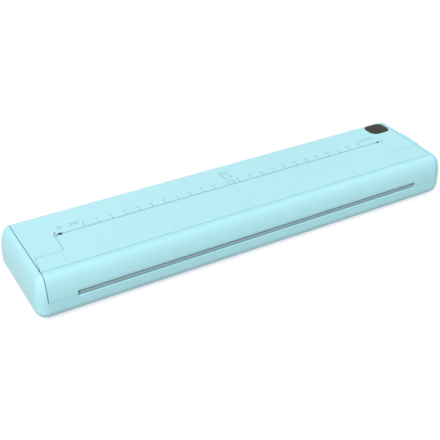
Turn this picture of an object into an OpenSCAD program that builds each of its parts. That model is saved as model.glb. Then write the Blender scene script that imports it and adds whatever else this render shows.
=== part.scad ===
// A4 portable thermal printer, with a hinged top cover, a sprung print head and a geared platen roller.
// Millimetres. +X runs along the case towards the power button, -Y faces the paper slot, +Z is up.
// The origin is at the middle of the footprint, on the surface that the feet stand on.

/* [Case] */
// Length over both end caps
case_length = 271; // [266:1:340]
// Depth from the slot face to the back
case_depth = 61.6; // [60:0.2:80]
// Height of the closed shells, without the feet
case_height = 26.5; // [26:0.5:34]
// Wall of every moulded shell
wall = 1.8; // [1.5:0.1:2.2]
// How far the upper edge rounds in, seen from above
edge_run = 6.2; // [5:0.1:7]
// Corner radius of the case, seen from above
plan_corner = 7.5; // [6:0.5:10]
// Radius of the lower edge
bottom_corner = 7; // [5:0.5:8]
// Height of the seam between the base and the shells above it
seam_height = 11.6; // [11:0.1:14]
// Length of each end cap
cap_length = 6; // [5:0.5:9]

/* [Cover] */
// Depth of the cover, from the slot face to the ruler slit
cover_depth = 35.6; // [35:0.1:38]
// Depth of the cover's wings beside the tongues of the rear shell
wing_depth = 20.6; // [20:0.1:22]
// How far the side edge of the cover stands outside the paper
notch_margin = 3.5; // [3.3:0.1:4.5]
// Width of the paper slit along the ruler
slit_width = 0.8; // [0.6:0.1:1.2]
// Height of the front paper slot
slot_height = 2.6; // [2:0.1:3]
// Gap between the cover and the shells beside it
cover_gap = 0.3; // [0.25:0.05:0.5]

/* [Paper path] */
// Widest paper that the roller takes
paper_width = 216; // [200:1:216]
// Radius of the rubber roller
platen_radius = 4.8; // [4.4:0.1:5]
// Radius of the roller's steel journals
journal_radius = 2; // [1.5:0.1:2.2]
// Radius of the curved chute behind the roller
chute_radius = 15.3; // [15:0.1:16]

/* [Head] */
// Thickness of the ceramic board with the heating dots
ceramic_thickness = 1; // [0.8:0.1:1.4]
// Thickness of the heat sink under it
heatsink_thickness = 4; // [3:0.5:4.5]
// How far the head gives way on its springs
head_travel = 0.8; // [0.5:0.1:1]

/* [Gears] */
// Size of the gear teeth, as the pitch diameter per tooth
gear_module = 0.5; // [0.5:0.05:0.6]
// Teeth on the roller's gear
platen_teeth = 20; // [18:1:22]
// Teeth on the idler
idler_teeth = 22; // [20:1:24]
// Teeth on the small end of the reduction gear
small_teeth = 12; // [12:1:14]
// Teeth on the large end of the reduction gear
large_teeth = 24; // [22:1:26]
// Teeth on the motor pinion
pinion_teeth = 10; // [10:1:12]

/* [Fits] */
// Radial running clearance of pins, axles and journals
running_fit = 0.05; // [0.03:0.01:0.1]
// Radial clearance of a pin or screw that stays put
close_fit = 0.02; // [0.01:0.01:0.05]
// Gap round each button in its window
button_gap = 0.3; // [0.25:0.05:0.5]
// Radius of the hinge pins
hinge_pin_radius = 1; // [0.8:0.1:1.2]
// Radius of the battery cells
cell_radius = 9.1; // [8.5:0.1:9.2]

/* [Buttons] */
// Width of the power button along the case
power_width = 14.5; // [12:0.5:15]
// Depth of the power button
power_depth = 12; // [10:0.5:14]
// Travel of the power button
power_travel = 0.6; // [0.4:0.1:0.8]
// Length of the release button along the end of the case
release_width = 17; // [15:0.2:19]
// Travel of the release button
release_travel = 1.8; // [1.2:0.1:2]

/* [Feet] */
// How far the feet stand below the base
foot_height = 1; // [0.6:0.1:2]
// Radius of a foot
foot_radius = 5; // [4:0.5:6]

/* [Hidden] */

// Facets of curves that are drawn as true circles
$fn = 48;
// Steps along each rounded edge of the case
edge_steps = 8;
// Makes a cut run past the face that it opens
over = 0.5;
// Gap between two parts of one shell at a seam
seam_gap = 0.2;

// Case levels and half sizes
base_z = foot_height;
top_z = base_z + case_height;
seam_z = base_z + seam_height;
edge_rise = top_z - seam_z;
floor_z = base_z + wall;
roof_z = top_z - wall;
half_length = case_length / 2;
half_depth = case_depth / 2;
front_y = -half_depth;
inner_front_y = front_y + wall;
inner_rear_y = half_depth - wall;
cap_x = half_length - cap_length;

// Paper slot and nip
paper_half = paper_width / 2;
slot_half = paper_half + 5.3;
slot_bottom_z = seam_z - 0.7;
slot_top_z = slot_bottom_z + slot_height;
nip_z = slot_bottom_z + 1.5;
head_gap = 0.1;
shelf_thickness = 0.8;

// Cover outline
cover_rear_y = front_y + cover_depth;
notch_y = front_y + wing_depth;
notch_x = paper_half + notch_margin;
crease_y = front_y + 7.6;
wing_end_x = cap_x - 0.3;
wing_taper = 1.6;
slit_rear_y = cover_rear_y + slit_width;
slit_mark = 0.7;
tongue_x = notch_x + cover_gap;

// Cover hinge
hinge_y = cover_rear_y - 5.8;
hinge_z = top_z - 2.8;
knuckle_radius = 2.2;
knuckle_x = paper_half + 1.3;
knuckle_length = notch_x - cover_gap - knuckle_x;
ear_width = 3;
tongue_edge_radius = norm([notch_y - hinge_y, top_z - hinge_z]);

// Platen roller
platen_y = front_y + 14.3;
platen_z = nip_z + platen_radius;
shaft_radius = 2.5;
arm_x = paper_half + 1.2;
arm_width = 2;
bush_radius = 3;
bush_flange = 3.6;

// Chute behind the roller
chute_y = slit_rear_y + 0.5 - chute_radius;
chute_z = top_z + 0.2;
chute_wall = 1.3;

// Ribs, as half their thickness, and where they stand along the paper
rib_half = 0.6;
shelf_rib_xs = [-paper_half + 2, -64, -22, 22, 64, paper_half - 2];
head_stop_xs = [-paper_half + 4, -52, 0, 52, paper_half - 10];
guide_rib_xs = [-paper_half + 2, -72, -36, 0, 36, paper_half - 14];
carrier_rib_xs = [for (i = [-4 : 4]) i * (paper_half - 12) / 4];

// Gear positions. The idler meshes where the roller's gear moves straight away as the cover opens.
tooth_height = 0.8;
root_depth = 1.05;
pressure = 25;
backlash = 0.12;
platen_pitch = gear_module * platen_teeth / 2;
idler_pitch = gear_module * idler_teeth / 2;
small_pitch = gear_module * small_teeth / 2;
large_pitch = gear_module * large_teeth / 2;
pinion_pitch = gear_module * pinion_teeth / 2;
to_hinge = [hinge_y - platen_y, hinge_z - platen_z];
platen = [platen_y, platen_z];
idler_angle = atan2(to_hinge[1], to_hinge[0]) - acos(platen_pitch / norm(to_hinge));
idler = platen + (platen_pitch + idler_pitch) * [cos(idler_angle), sin(idler_angle)];
reduction_angle = 15;
reduction = idler + (idler_pitch + small_pitch) * [cos(reduction_angle), sin(reduction_angle)];
motor_angle = 15;
motor = reduction + (large_pitch + pinion_pitch) * [cos(motor_angle), sin(motor_angle)];

// Where each gear has a tooth, so that all are in mesh at rest
platen_phase = 0;
idler_phase = meshed(platen_phase, platen_teeth, idler_teeth, idler_angle);
small_phase = meshed(idler_phase, idler_teeth, small_teeth, reduction_angle);
large_phase = small_phase;
pinion_phase = meshed(large_phase, large_teeth, pinion_teeth, motor_angle);

// Layers of the gear train, counted outwards from the paper at the left end
gear_width = 2.4;
near_layer_x = notch_x + 0.9;
far_layer_x = near_layer_x + gear_width + 0.3;
far_width = 2.3;
plate_x = far_layer_x + far_width + 0.6;
plate_thickness = 1.2;
axle_radius = 1;
motor_shaft_radius = 0.75;
motor_radius = 7.5;
motor_boss_radius = 3;
motor_ear = 9.5;
motor_ear_radius = 2.2;
motor_ear_thickness = 1;
motor_length = 8;
clip_width = 0.5;
clip_mouth = 1.8;

// Side plates
plate_front_y = front_y + 4.8;
plate_top_z = roof_z - 1.9;
flange_ys = [notch_y - 2.8, notch_y + 5.8];
flange_width = 6;
flange_length = 7;
pad_height = 2.5;
plate_screw_x = plate_x + plate_thickness + 4;

// Print head
head_half = paper_half - 0.5;
ceramic_z = nip_z - head_gap - ceramic_thickness;
heatsink_z = ceramic_z - heatsink_thickness;
heatsink_front_y = platen_y - 7.5;
heatsink_rear_y = platen_y + 5;
ceramic_front_y = platen_y - 3.7;
head_step = 1.2;
spring_xs = [for (i = [-3 : 2 : 3]) i * (head_half - 17.5) / 3];
spring_radius = 2.6;
spring_wire = 0.7;
spring_pocket = 1;
head_side_gap = 0.3;
head_post = 2;
groove_width = 1;
groove_depth = 1.6;
driver_board_thickness = 1;
chip_cover_height = 0.9;

// Paper sensor
sensor_spot = 42;
sensor_y = inner_front_y + 0.6;
sensor_size = [6, 3, 1.5];
sensor_z = slot_bottom_z - 0.1 - sensor_size[2];
sensor_eye_radius = 0.8;

// Battery
cell_length = 65;
cell_y = half_depth - 13.8;
tray_left_x = -paper_half + 3.6;
tray_wall = 1.2;
contact_thickness = 0.4;
contact_bump = 1.1;
cell_space = 2 * cell_length + 1 + 2 * (contact_thickness + contact_bump + 0.2);
tray_right_x = tray_left_x + cell_space + 2 * tray_wall;
tray_floor = 0.8;
tray_side = 0.9;
tray_height = 7.2;
tray_end_rise = 5;
lead_hole_radius = 2.4;
contact_size = 11;
contact_bump_radius = 2.6;
cell_nub = 0.7;
cell_nub_radius = 3;
cell_fit = 0.2;
cell_z = floor_z + tray_floor + cell_fit + cell_radius;

// Circuit board and its socket
board_thickness = 1.6;
board_z = floor_z + 2.8;
board_top_z = board_z + board_thickness;
board_left_x = tray_right_x + 8.6;
board_right_x = paper_half - 3.6;
board_front_y = half_depth - 22.4;
board_rear_y = inner_rear_y - 1;
usb_x = board_right_x - 12;
usb_width = 8.94;
usb_height = 3.2;
usb_length = 7.3;
usb_corner = 1.55;
usb_sheet = 0.35;
usb_gap = 0.3;
usb_rear_y = half_depth - 0.4;
cable_x = board_left_x + 14;
cable_width = 20;
cable_thickness = 0.3;
cable_rise = 1.2;

// Power button, its board and switch
power_x = cap_x - 8.5;
power_y = half_depth - 10.8;
power_proud = 0.35;
power_corner = 4.5;
power_floor_z = roof_z - 3.5;
switch_size = 6;
switch_board_z = seam_z + 1.9;
switch_board_thickness = 1.2;
switch_board_size = [13.8, 12.8];
switch_body = 3.5;
switch_key_radius = 1.7;
switch_top_z = switch_board_z + switch_board_thickness + switch_body + 1.1;
stem_radius = 2;
stem_z = switch_top_z + power_travel + 0.1;

// Release button and latch
release_y = hinge_y + 2.5;
release_low_z = roof_z - 8.2;
release_high_z = roof_z - 0.4;
release_top_z = roof_z + 0.8;
release_step_x = cap_x + release_travel + 0.2;
release_inner_x = cap_x - 1.9;
release_outer_x = half_length - 0.2;
release_corner = 1.2;
release_round = [2.4, 5];
striker_x = cap_x - 5.5;
striker_width = 1.6;
striker_depth = 4;
striker_y = notch_y - 5.2;
latch_clearance = 0.25;
latch_z = roof_z - 7.1;
latch_thickness = 1.8;
latch_arm_x = striker_x - latch_clearance - release_travel - 0.5;
latch_rail_y = hinge_y - 4.6;
latch_rail_width = 6;
latch_spring_y = hinge_y + 2.5;
latch_spring_z = roof_z - 4.2;
latch_spring_radius = 2;
latch_spring_wire = 0.5;
latch_peg_radius = 0.9;
latch_peg_length = 3;
latch_plate = 1.6;

// Screws
case_screw_radius = 1.25;
case_head_radius = 2.3;
case_head_height = 1.6;
case_well_depth = 2.4;
case_boss_radius = 3.8;
shell_boss_radius = 2.8;
small_screw_radius = 0.95;
small_head_radius = 1.9;
small_head_height = 1.3;
small_boss_radius = 2.2;
screw_bite = 6;
rear_screw_y = half_depth - 9.3;
rear_screws = [for (x = [-paper_half - 0.5, tray_right_x + 4.2, paper_half + 0.5]) [x, rear_screw_y]];
cap_screw_x = cap_x - 4;
cap_screw_y = half_depth - 9.8;
left_cap_screws = [[-cap_screw_x, -cap_screw_y], [-cap_screw_x, cap_screw_y]];
right_cap_screws = [[cap_screw_x, -cap_screw_y], [cap_screw_x, power_y - 11]];
cap_tab = 2.2;
cap_tab_width = 6;
cap_boss_height = 4;
cap_boss_radius = 2.4;
foot_x = half_length - 39.5;
foot_y = half_depth - 14.8;
foot_spots = [for (x = [-foot_x, foot_x], y = [-foot_y, foot_y]) [x, y]];
foot_recess = 0.6;
carrier_screw_xs = [for (i = [-5 : 2 : 5]) i * (paper_half - 8) / 5];
carrier_screw_y = platen_y - 6.4;
carrier_thickness = 1.4;
carrier_screw_bite = 0.8;
board_screw_spots = [
    [board_left_x + 3.2, board_front_y + 3.2],
    [board_left_x + 3.2, board_rear_y - 3.2],
    [board_right_x - 3.2, board_front_y + 3.2]
];
button_screw_spots = [for (side = [-1, 1]) [power_x + side * 4.6, power_y + side * 4]];

// Colours of the pieces
shell_blue = [0.71, 0.91, 0.93];
inner_blue = [0.62, 0.82, 0.85];
soft_black = [0.16, 0.15, 0.15];
rubber_black = [0.10, 0.10, 0.11];
steel = [0.72, 0.73, 0.75];
zinc = [0.60, 0.62, 0.64];
aluminium = [0.80, 0.81, 0.83];
brass = [0.80, 0.66, 0.34];
gear_white = [0.92, 0.91, 0.87];
board_green = [0.10, 0.36, 0.20];
ceramic_white = [0.90, 0.89, 0.85];

// ---- Helpers ----

// Points along an elliptical arc
function arc_points(centre, radii, from, to, steps) =
    [for (i = [0 : steps])
        let (a = from + (to - from) * i / steps)
        [centre[0] + radii[0] * cos(a), centre[1] + radii[1] * sin(a)]];

// Involute of an angle, in degrees
function involute(a) = tan(a) * 180 / PI - a;

// Half the width of a tooth at a radius, as an angle
function half_tooth(radius, teeth) =
    let (pitch = gear_module * teeth / 2)
    90 / teeth + involute(pressure)
    - involute(acos(min(1, pitch * cos(pressure) / radius)))
    - backlash / 4 / pitch * 180 / PI;

// Angle of a tooth on a gear that meshes with another one in the given direction
function meshed(phase, teeth, next_teeth, direction) =
    direction + 180 - 180 / next_teeth + (direction - phase) * teeth / next_teeth;

module box(x, y, z) {
    translate([x[0], y[0], z[0]])
        cube([x[1] - x[0], y[1] - y[0], z[1] - z[0]]);
}

// Extrudes an outline drawn in Y and Z along X
module slab_x(x) {
    translate([x[0], 0, 0])
        rotate([90, 0, 90])
            linear_extrude(height = x[1] - x[0])
                children();
}

// Extrudes an outline drawn in X and Z along Y
module slab_y(y) {
    translate([0, y[1], 0])
        rotate([90, 0, 0])
            linear_extrude(height = y[1] - y[0])
                children();
}

module rod_x(x, spot, radius) {
    translate([x[0], spot[0], spot[1]])
        rotate([0, 90, 0])
            cylinder(r = radius, h = x[1] - x[0]);
}

module rod_z(spot, z, radius) {
    translate([spot[0], spot[1], z[0]])
        cylinder(r = radius, h = z[1] - z[0]);
}

module at_both_ends() {
    children();
    mirror([1, 0, 0])
        children();
}

module rounded_square(size, radius) {
    w = size[0] / 2 - radius;
    d = size[1] / 2 - radius;
    square([size[0], 2 * d], center = true);
    square([2 * w, size[1]], center = true);
    for (x = [-w, w], y = [-d, d])
        translate([x, y])
            circle(r = radius);
}

module screw(spot, z, radius, head_radius, head_height) {
    rod_z(spot, z, radius);
    rod_z(spot, [z[0] - head_height, z[0]], head_radius);
}

module gear_teeth(teeth, phase) {
    pitch = gear_module * teeth / 2;
    tip = pitch + tooth_height * gear_module;
    root = pitch - root_depth * gear_module;
    start = max(root, pitch * cos(pressure));
    radii = [for (i = [0 : 4]) start + (tip - start) * i / 4];
    root_half = half_tooth(start, teeth);
    polygon([
        for (t = [0 : teeth - 1])
            let (a = phase + t * 360 / teeth)
            each concat(
                [root * [cos(a - root_half), sin(a - root_half)]],
                [for (r = radii) r * [cos(a - half_tooth(r, teeth)), sin(a - half_tooth(r, teeth))]],
                [for (i = [4 : -1 : 0])
                    let (r = radii[i], h = half_tooth(r, teeth))
                    r * [cos(a + h), sin(a + h)]],
                [root * [cos(a + root_half), sin(a + root_half)]]
            )
    ]);
}

module gear(spot, x, teeth, phase) {
    slab_x(x)
        translate(spot)
            gear_teeth(teeth, phase);
}

// ---- Case form ----

// One side of the case in section: round below, upright to the seam, then an ellipse to the top
function case_section(half, inset) =
    let (low = bottom_corner - inset, run = edge_run - inset, rise = edge_rise - inset)
    concat(
        arc_points([half - bottom_corner, base_z + bottom_corner], [low, low], -90, 0, edge_steps),
        arc_points([half - edge_run, seam_z], [run, rise], 0, 90, edge_steps),
        arc_points([edge_run - half, seam_z], [run, rise], 90, 180, edge_steps),
        arc_points([bottom_corner - half, base_z + bottom_corner], [low, low], 180, 270, edge_steps)
    );

module case_plan(inset) {
    r = plan_corner - inset;
    w = half_length - plan_corner;
    d = half_depth - plan_corner;
    polygon(concat(
        arc_points([w, -d], [r, r], -90, 0, edge_steps),
        arc_points([w, d], [r, r], 0, 90, edge_steps),
        arc_points([-w, d], [r, r], 90, 180, edge_steps),
        arc_points([-w, -d], [r, r], 180, 270, edge_steps)
    ));
}

module case_block(inset) {
    intersection() {
        slab_x([-half_length, half_length])
            polygon(case_section(half_depth, inset));
        slab_y([-half_depth, half_depth])
            polygon(case_section(half_length, inset));
        translate([0, 0, base_z])
            linear_extrude(height = case_height)
                case_plan(inset);
    }
}

module case_skin() {
    difference() {
        case_block(0);
        case_block(wall);
    }
}

// The part of the case that the cover takes up, without its wings
module cover_middle() {
    box([-notch_x, notch_x], [front_y - over, cover_rear_y], [seam_z + seam_gap / 2, top_z + over]);
}

// The right wing, whose rear edge is cut on a circle round the hinge so that it clears the tongue
module cover_wing() {
    difference() {
        translate([0, 0, seam_z + seam_gap / 2])
            linear_extrude(height = edge_rise + over)
                polygon([
                    [notch_x - over, front_y - over],
                    [wing_end_x, front_y - over],
                    [wing_end_x, crease_y],
                    [wing_end_x - wing_taper + 0.15, notch_y - 1.2],
                    [wing_end_x - wing_taper - 1.2, notch_y + 1],
                    [notch_x - over, notch_y + 1]
                ]);
        rod_x([notch_x, wing_end_x + over], [hinge_y, hinge_z], tongue_edge_radius);
    }
}

// ---- Shells ----

module slot_cut() {
    box([-slot_half, slot_half], [front_y - over, inner_front_y + over], [slot_bottom_z, slot_top_z]);
}

module screw_well(spot) {
    rod_z(spot, [base_z - over, base_z + case_well_depth], case_head_radius + 0.3);
    rod_z(spot, [base_z, seam_z + over], case_screw_radius + close_fit);
}

module base_shell() {
    all_case_screws = concat(rear_screws, left_cap_screws, right_cap_screws);
    color(shell_blue)
        difference() {
            union() {
                intersection() {
                    case_skin();
                    box([-half_length, half_length], [front_y, half_depth], [base_z, seam_z - seam_gap / 2]);
                }
                intersection() {
                    case_block(wall / 2);
                    union() {
                        for (s = all_case_screws)
                            rod_z(s, [floor_z - over, seam_z], case_boss_radius);
                        base_ribs();
                        base_pads();
                    }
                }
            }
            slot_cut();
            for (s = all_case_screws)
                screw_well(s);
            for (f = foot_spots)
                rod_z(f, [base_z - over, base_z + foot_recess], foot_radius + 0.1);
            usb_window();
            pad_holes();
        }
}

// Shelf behind the slot, a post under the sensor, posts round the head and pegs for its springs
module base_ribs() {
    sensor_room = sensor_size[0] / 2 + 1;
    stop_y = heatsink_rear_y + head_side_gap;
    post_x = head_half + head_side_gap;
    shelf_z = [slot_bottom_z - shelf_thickness, slot_bottom_z];
    shelf_y = [inner_front_y - over, heatsink_front_y - 0.4];
    box([-slot_half, sensor_spot - sensor_room], shelf_y, shelf_z);
    box([sensor_spot + sensor_room, slot_half], shelf_y, shelf_z);
    for (x = shelf_rib_xs)
        box([x - rib_half, x + rib_half], shelf_y, [floor_z - over, slot_bottom_z - shelf_thickness / 2]);
    at_both_ends()
        box([post_x, post_x + head_post], [platen_y - 4, platen_y + 4], [floor_z - over, heatsink_z + 3]);
    for (x = head_stop_xs)
        box([x - 3, x + 3], [stop_y, stop_y + 2 * rib_half], [floor_z - over, heatsink_z + 1.6]);
    for (x = spring_xs)
        rod_z([x, platen_y], [floor_z - over, heatsink_z - head_travel - 2.3],
            spring_radius - spring_wire - 0.2);
    box([sensor_spot - 2, sensor_spot + 2], [sensor_y + 0.6, sensor_y + sensor_size[1] - 0.6],
        [floor_z - over, sensor_z]);
}

// Pads under the side plates, the circuit board and the button board
module base_pads() {
    at_both_ends()
        for (y = flange_ys)
            box([plate_x + plate_thickness, plate_x + plate_thickness + flange_length],
                [y - flange_width / 2, y + flange_width / 2], [floor_z - over, floor_z + pad_height]);
    for (s = board_screw_spots)
        rod_z(s, [floor_z - over, board_z], small_boss_radius);
    for (s = button_screw_spots)
        rod_z(s, [floor_z - over, switch_board_z], small_boss_radius);
}

module pad_holes() {
    at_both_ends()
        for (y = flange_ys)
            rod_z([plate_screw_x, y], [floor_z + 0.4, floor_z + pad_height + over],
                small_screw_radius + close_fit);
    for (s = board_screw_spots)
        rod_z(s, [floor_z + 0.4, board_z + over], small_screw_radius + close_fit);
    for (s = button_screw_spots)
        rod_z(s, [switch_board_z - 5, switch_board_z + over], small_screw_radius + close_fit);
}

module usb_window() {
    slab_y([inner_rear_y - over, half_depth + over])
        translate([usb_x, board_top_z + usb_height / 2])
            rounded_square([usb_width + 2 * usb_gap, usb_height + 2 * usb_gap], usb_corner + usb_gap / 2);
}

module rear_shell() {
    side = cap_x - seam_gap / 2;
    color(shell_blue)
        difference() {
            union() {
                intersection() {
                    case_skin();
                    rear_outline(side);
                }
                for (s = rear_screws)
                    rod_z(s, [seam_z, roof_z + over], shell_boss_radius);
                at_both_ends()
                    hinge_ear();
            }
            for (s = rear_screws)
                rod_z(s, [seam_z - over, seam_z + screw_bite + 1], case_screw_radius + close_fit);
            at_both_ends()
                rod_x([tongue_x - over, tongue_x + ear_width + over], [hinge_y, hinge_z],
                    hinge_pin_radius + close_fit);
            at_both_ends()
                box([paper_half - 0.6, paper_half + 1.8], [slit_rear_y - over, slit_rear_y + slit_mark],
                    [roof_z - over, top_z + over]);
            translate([power_x, power_y, roof_z - 6])
                linear_extrude(height = 6 + wall + over)
                    rounded_square([power_width + 2 * button_gap, power_depth + 2 * button_gap],
                        power_corner + button_gap);
        }
}

module rear_outline(side) {
    z = [seam_z + seam_gap / 2, top_z + over];
    neck_x = wing_end_x - wing_taper + cover_gap;
    tip_y = notch_y - 7.5;
    box([-side, side], [slit_rear_y, half_depth + over], z);
    at_both_ends()
        intersection() {
            box([tongue_x, side], [notch_y - 2, slit_rear_y + 1], [roof_z - 1, top_z + over]);
            rod_x([tongue_x - over, side + over], [hinge_y, hinge_z], tongue_edge_radius - cover_gap);
        }
    at_both_ends()
        translate([0, 0, roof_z - 1])
            linear_extrude(height = wall + 1 + over)
                polygon([
                    [side, notch_y + 2],
                    [side, tip_y],
                    [side - 0.55, tip_y],
                    [neck_x + 0.25, notch_y - 1.2],
                    [neck_x - 0.1, notch_y + 2]
                ]);
}

// Ear under the tongue that holds the hinge pin
module hinge_ear() {
    slab_x([tongue_x, tongue_x + ear_width])
        hinge_eye(knuckle_radius + 0.6);
}

module hinge_eye(radius) {
    translate([hinge_y, hinge_z]) {
        circle(r = radius);
        translate([-radius, 0])
            square([2 * radius, roof_z - hinge_z + over]);
    }
}

module end_cap_skin() {
    intersection() {
        case_skin();
        box([cap_x + seam_gap / 2, half_length + over], [front_y - over, half_depth + over],
            [seam_z + seam_gap / 2, top_z + over]);
    }
}

// Tab that carries an end cap on the base, with a boss for its screw
module cap_tab_at(spot) {
    out_x = half_length - wall + 0.3;
    half = cap_tab_width / 2;
    box([spot[0] - half, out_x], [spot[1] - half, spot[1] + half], [seam_z, seam_z + cap_tab]);
    rod_z(spot, [seam_z, seam_z + cap_boss_height], cap_boss_radius);
}

module cap_with_tabs(spots) {
    difference() {
        union() {
            end_cap_skin();
            for (s = spots)
                cap_tab_at(s);
        }
        for (s = spots)
            rod_z(s, [seam_z - over, seam_z + cap_boss_height + over], case_screw_radius + close_fit);
    }
}

module left_end_cap() {
    color(shell_blue)
        mirror([1, 0, 0])
            cap_with_tabs([for (s = left_cap_screws) [-s[0], s[1]]]);
}

module right_end_cap() {
    color(shell_blue)
        difference() {
            cap_with_tabs(right_cap_screws);
            box([cap_x - over, half_length + over],
                [release_y - release_width / 2 - button_gap, release_y + release_width / 2 + button_gap],
                [release_low_z - button_gap, top_z + over]);
        }
}

// ---- Cover ----

module top_cover() {
    color(shell_blue)
        difference() {
            union() {
                intersection() {
                    case_skin();
                    union() {
                        cover_middle();
                        at_both_ends()
                            cover_wing();
                    }
                }
                at_both_ends()
                    hinge_knuckle();
                striker();
            }
            slot_cut();
            at_both_ends()
                rod_x([knuckle_x - over, notch_x + over], [hinge_y, hinge_z], hinge_pin_radius + running_fit);
            for (x = carrier_screw_xs)
                rod_z([x, carrier_screw_y], [roof_z - over, roof_z + carrier_screw_bite + 0.2],
                    small_screw_radius + close_fit);
        }
}

module hinge_knuckle() {
    slab_x([knuckle_x, knuckle_x + knuckle_length])
        hinge_eye(knuckle_radius);
}

// Tab that the latch holds, with a window for the nose and a gusset
module striker() {
    difference() {
        union() {
            box([striker_x, striker_x + striker_width],
                [striker_y - striker_depth / 2, striker_y + striker_depth / 2],
                [latch_z - 3, roof_z + over]);
            slab_y([striker_y - 0.6, striker_y + 0.6])
                polygon([
                    [striker_x + striker_width - over, roof_z + over],
                    [striker_x + striker_width - over, latch_z + 3.5],
                    [striker_x + striker_width + 1.6, roof_z + over]
                ]);
        }
        box([striker_x - over, striker_x + striker_width + over],
            [striker_y - striker_depth / 2 + 0.9, striker_y + striker_depth / 2 - 0.9],
            [latch_z - 1.8, latch_z + latch_thickness + 0.4]);
    }
}

module platen_carrier() {
    plate_z = [roof_z - carrier_thickness, roof_z];
    rear_y = cover_rear_y - 1.2;
    inside = paper_half + 0.7;
    arm_y = [platen_y - 5, platen_y + 5];
    color(inner_blue)
        difference() {
            union() {
                box([-inside, inside], [front_y + edge_run + 0.1, rear_y], plate_z);
                at_both_ends() {
                    box([inside - over, arm_x + arm_width], arm_y, plate_z);
                    box([arm_x, arm_x + arm_width], arm_y, [platen_z - bush_radius - 1.2, roof_z]);
                }
                box([-inside, inside], [platen_y + 6, platen_y + 7], [platen_z - 1, roof_z - over]);
                for (x = carrier_rib_xs)
                    carrier_rib(x, rear_y);
            }
            at_both_ends()
                rod_x([arm_x - over, arm_x + arm_width + over], platen, bush_radius + close_fit);
            for (x = carrier_screw_xs)
                rod_z([x, carrier_screw_y], [plate_z[0] - over, roof_z + over],
                    small_screw_radius + close_fit);
        }
}

// Rib whose curved edge guides the paper from above
module carrier_rib(x, rear_y) {
    start_y = platen_y + 6.5;
    radius = chute_radius - 1.3;
    slab_x([x - 0.7, x + 0.7])
        intersection() {
            translate([start_y, chute_z - radius])
                square([rear_y - start_y, roof_z - over - chute_z + radius]);
            translate([chute_y, chute_z])
                circle(r = radius, $fn = 96);
        }
}

module carrier_screws() {
    color(zinc)
        for (x = carrier_screw_xs)
            screw([x, carrier_screw_y], [roof_z - carrier_thickness, roof_z + carrier_screw_bite],
                small_screw_radius, small_head_radius, small_head_height);
}

// ---- Platen ----

module platen_shaft() {
    color(steel) {
        rod_x([-paper_half - 0.6, paper_half + 0.6], platen, shaft_radius);
        rod_x([-far_layer_x - 1.2, arm_x + arm_width + 2], platen, journal_radius);
    }
}

module platen_rubber() {
    color(rubber_black)
        difference() {
            rod_x([-paper_half, paper_half], platen, platen_radius);
            rod_x([-paper_half - over, paper_half + over], platen, shaft_radius);
        }
}

module platen_bushes() {
    color(gear_white)
        at_both_ends()
            difference() {
                union() {
                    rod_x([arm_x, arm_x + arm_width + 0.2], platen, bush_radius);
                    rod_x([arm_x - 0.4, arm_x], platen, bush_flange);
                }
                rod_x([arm_x - 1, arm_x + arm_width + 1], platen, journal_radius + running_fit);
            }
}

module platen_gear() {
    color(gear_white)
        mirror([1, 0, 0])
            difference() {
                union() {
                    gear(platen, [near_layer_x, near_layer_x + gear_width], platen_teeth, platen_phase);
                    rod_x([near_layer_x - 0.4, near_layer_x + over], platen, journal_radius + 1);
                }
                rod_x([near_layer_x - 1, near_layer_x + gear_width + 1], platen, journal_radius + close_fit);
            }
}

module shaft_clips() {
    color(steel)
        for (x = [-far_layer_x - 0.6, arm_x + arm_width + 0.6])
            difference() {
                rod_x([x, x + clip_width], platen, journal_radius + 1.2);
                rod_x([x - over, x + clip_width + over], platen, journal_radius + close_fit);
                box([x - over, x + clip_width + over], [platen_y - clip_mouth / 2, platen_y + clip_mouth / 2],
                    [platen_z, platen_z + journal_radius + 2]);
            }
}

// ---- Print head ----

module head_heatsink() {
    step_y = ceramic_front_y - 0.2;
    top = ceramic_z;
    color(aluminium)
        difference() {
            slab_x([-head_half, head_half])
                polygon([
                    [heatsink_front_y, heatsink_z],
                    [heatsink_rear_y, heatsink_z],
                    [heatsink_rear_y, top],
                    [step_y, top],
                    [step_y, top - head_step],
                    [heatsink_front_y, top - head_step]
                ]);
            for (y = [heatsink_front_y + 1.2, heatsink_rear_y - 1.7])
                box([-head_half - over, head_half + over], [y, y + groove_width],
                    [heatsink_z - over, heatsink_z + groove_depth]);
            for (x = spring_xs)
                rod_z([x, platen_y], [heatsink_z - over, heatsink_z + spring_pocket], spring_radius + 0.2);
        }
}

module head_ceramic() {
    color(ceramic_white)
        box([-head_half, head_half], [ceramic_front_y, heatsink_rear_y - 0.4],
            [ceramic_z, ceramic_z + ceramic_thickness]);
}

module head_driver_board() {
    color(board_green)
        box([-head_half + 1, head_half - 1], [heatsink_front_y + 0.2, ceramic_front_y - 0.3],
            [ceramic_z - head_step, ceramic_z - head_step + driver_board_thickness]);
}

module head_chip_cover() {
    low = ceramic_z - head_step + driver_board_thickness;
    high = low + chip_cover_height;
    color(rubber_black)
        slab_x([-head_half + 6, head_half - 6])
            polygon([
                [heatsink_front_y + 0.6, low],
                [ceramic_front_y - 0.5, low],
                [ceramic_front_y - 0.9, high],
                [heatsink_front_y + 1.2, high]
            ]);
}

module head_springs() {
    color(steel)
        for (x = spring_xs)
            difference() {
                rod_z([x, platen_y], [floor_z, heatsink_z + spring_pocket], spring_radius);
                rod_z([x, platen_y], [floor_z - over, heatsink_z + spring_pocket + over],
                    spring_radius - spring_wire);
            }
}

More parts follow.
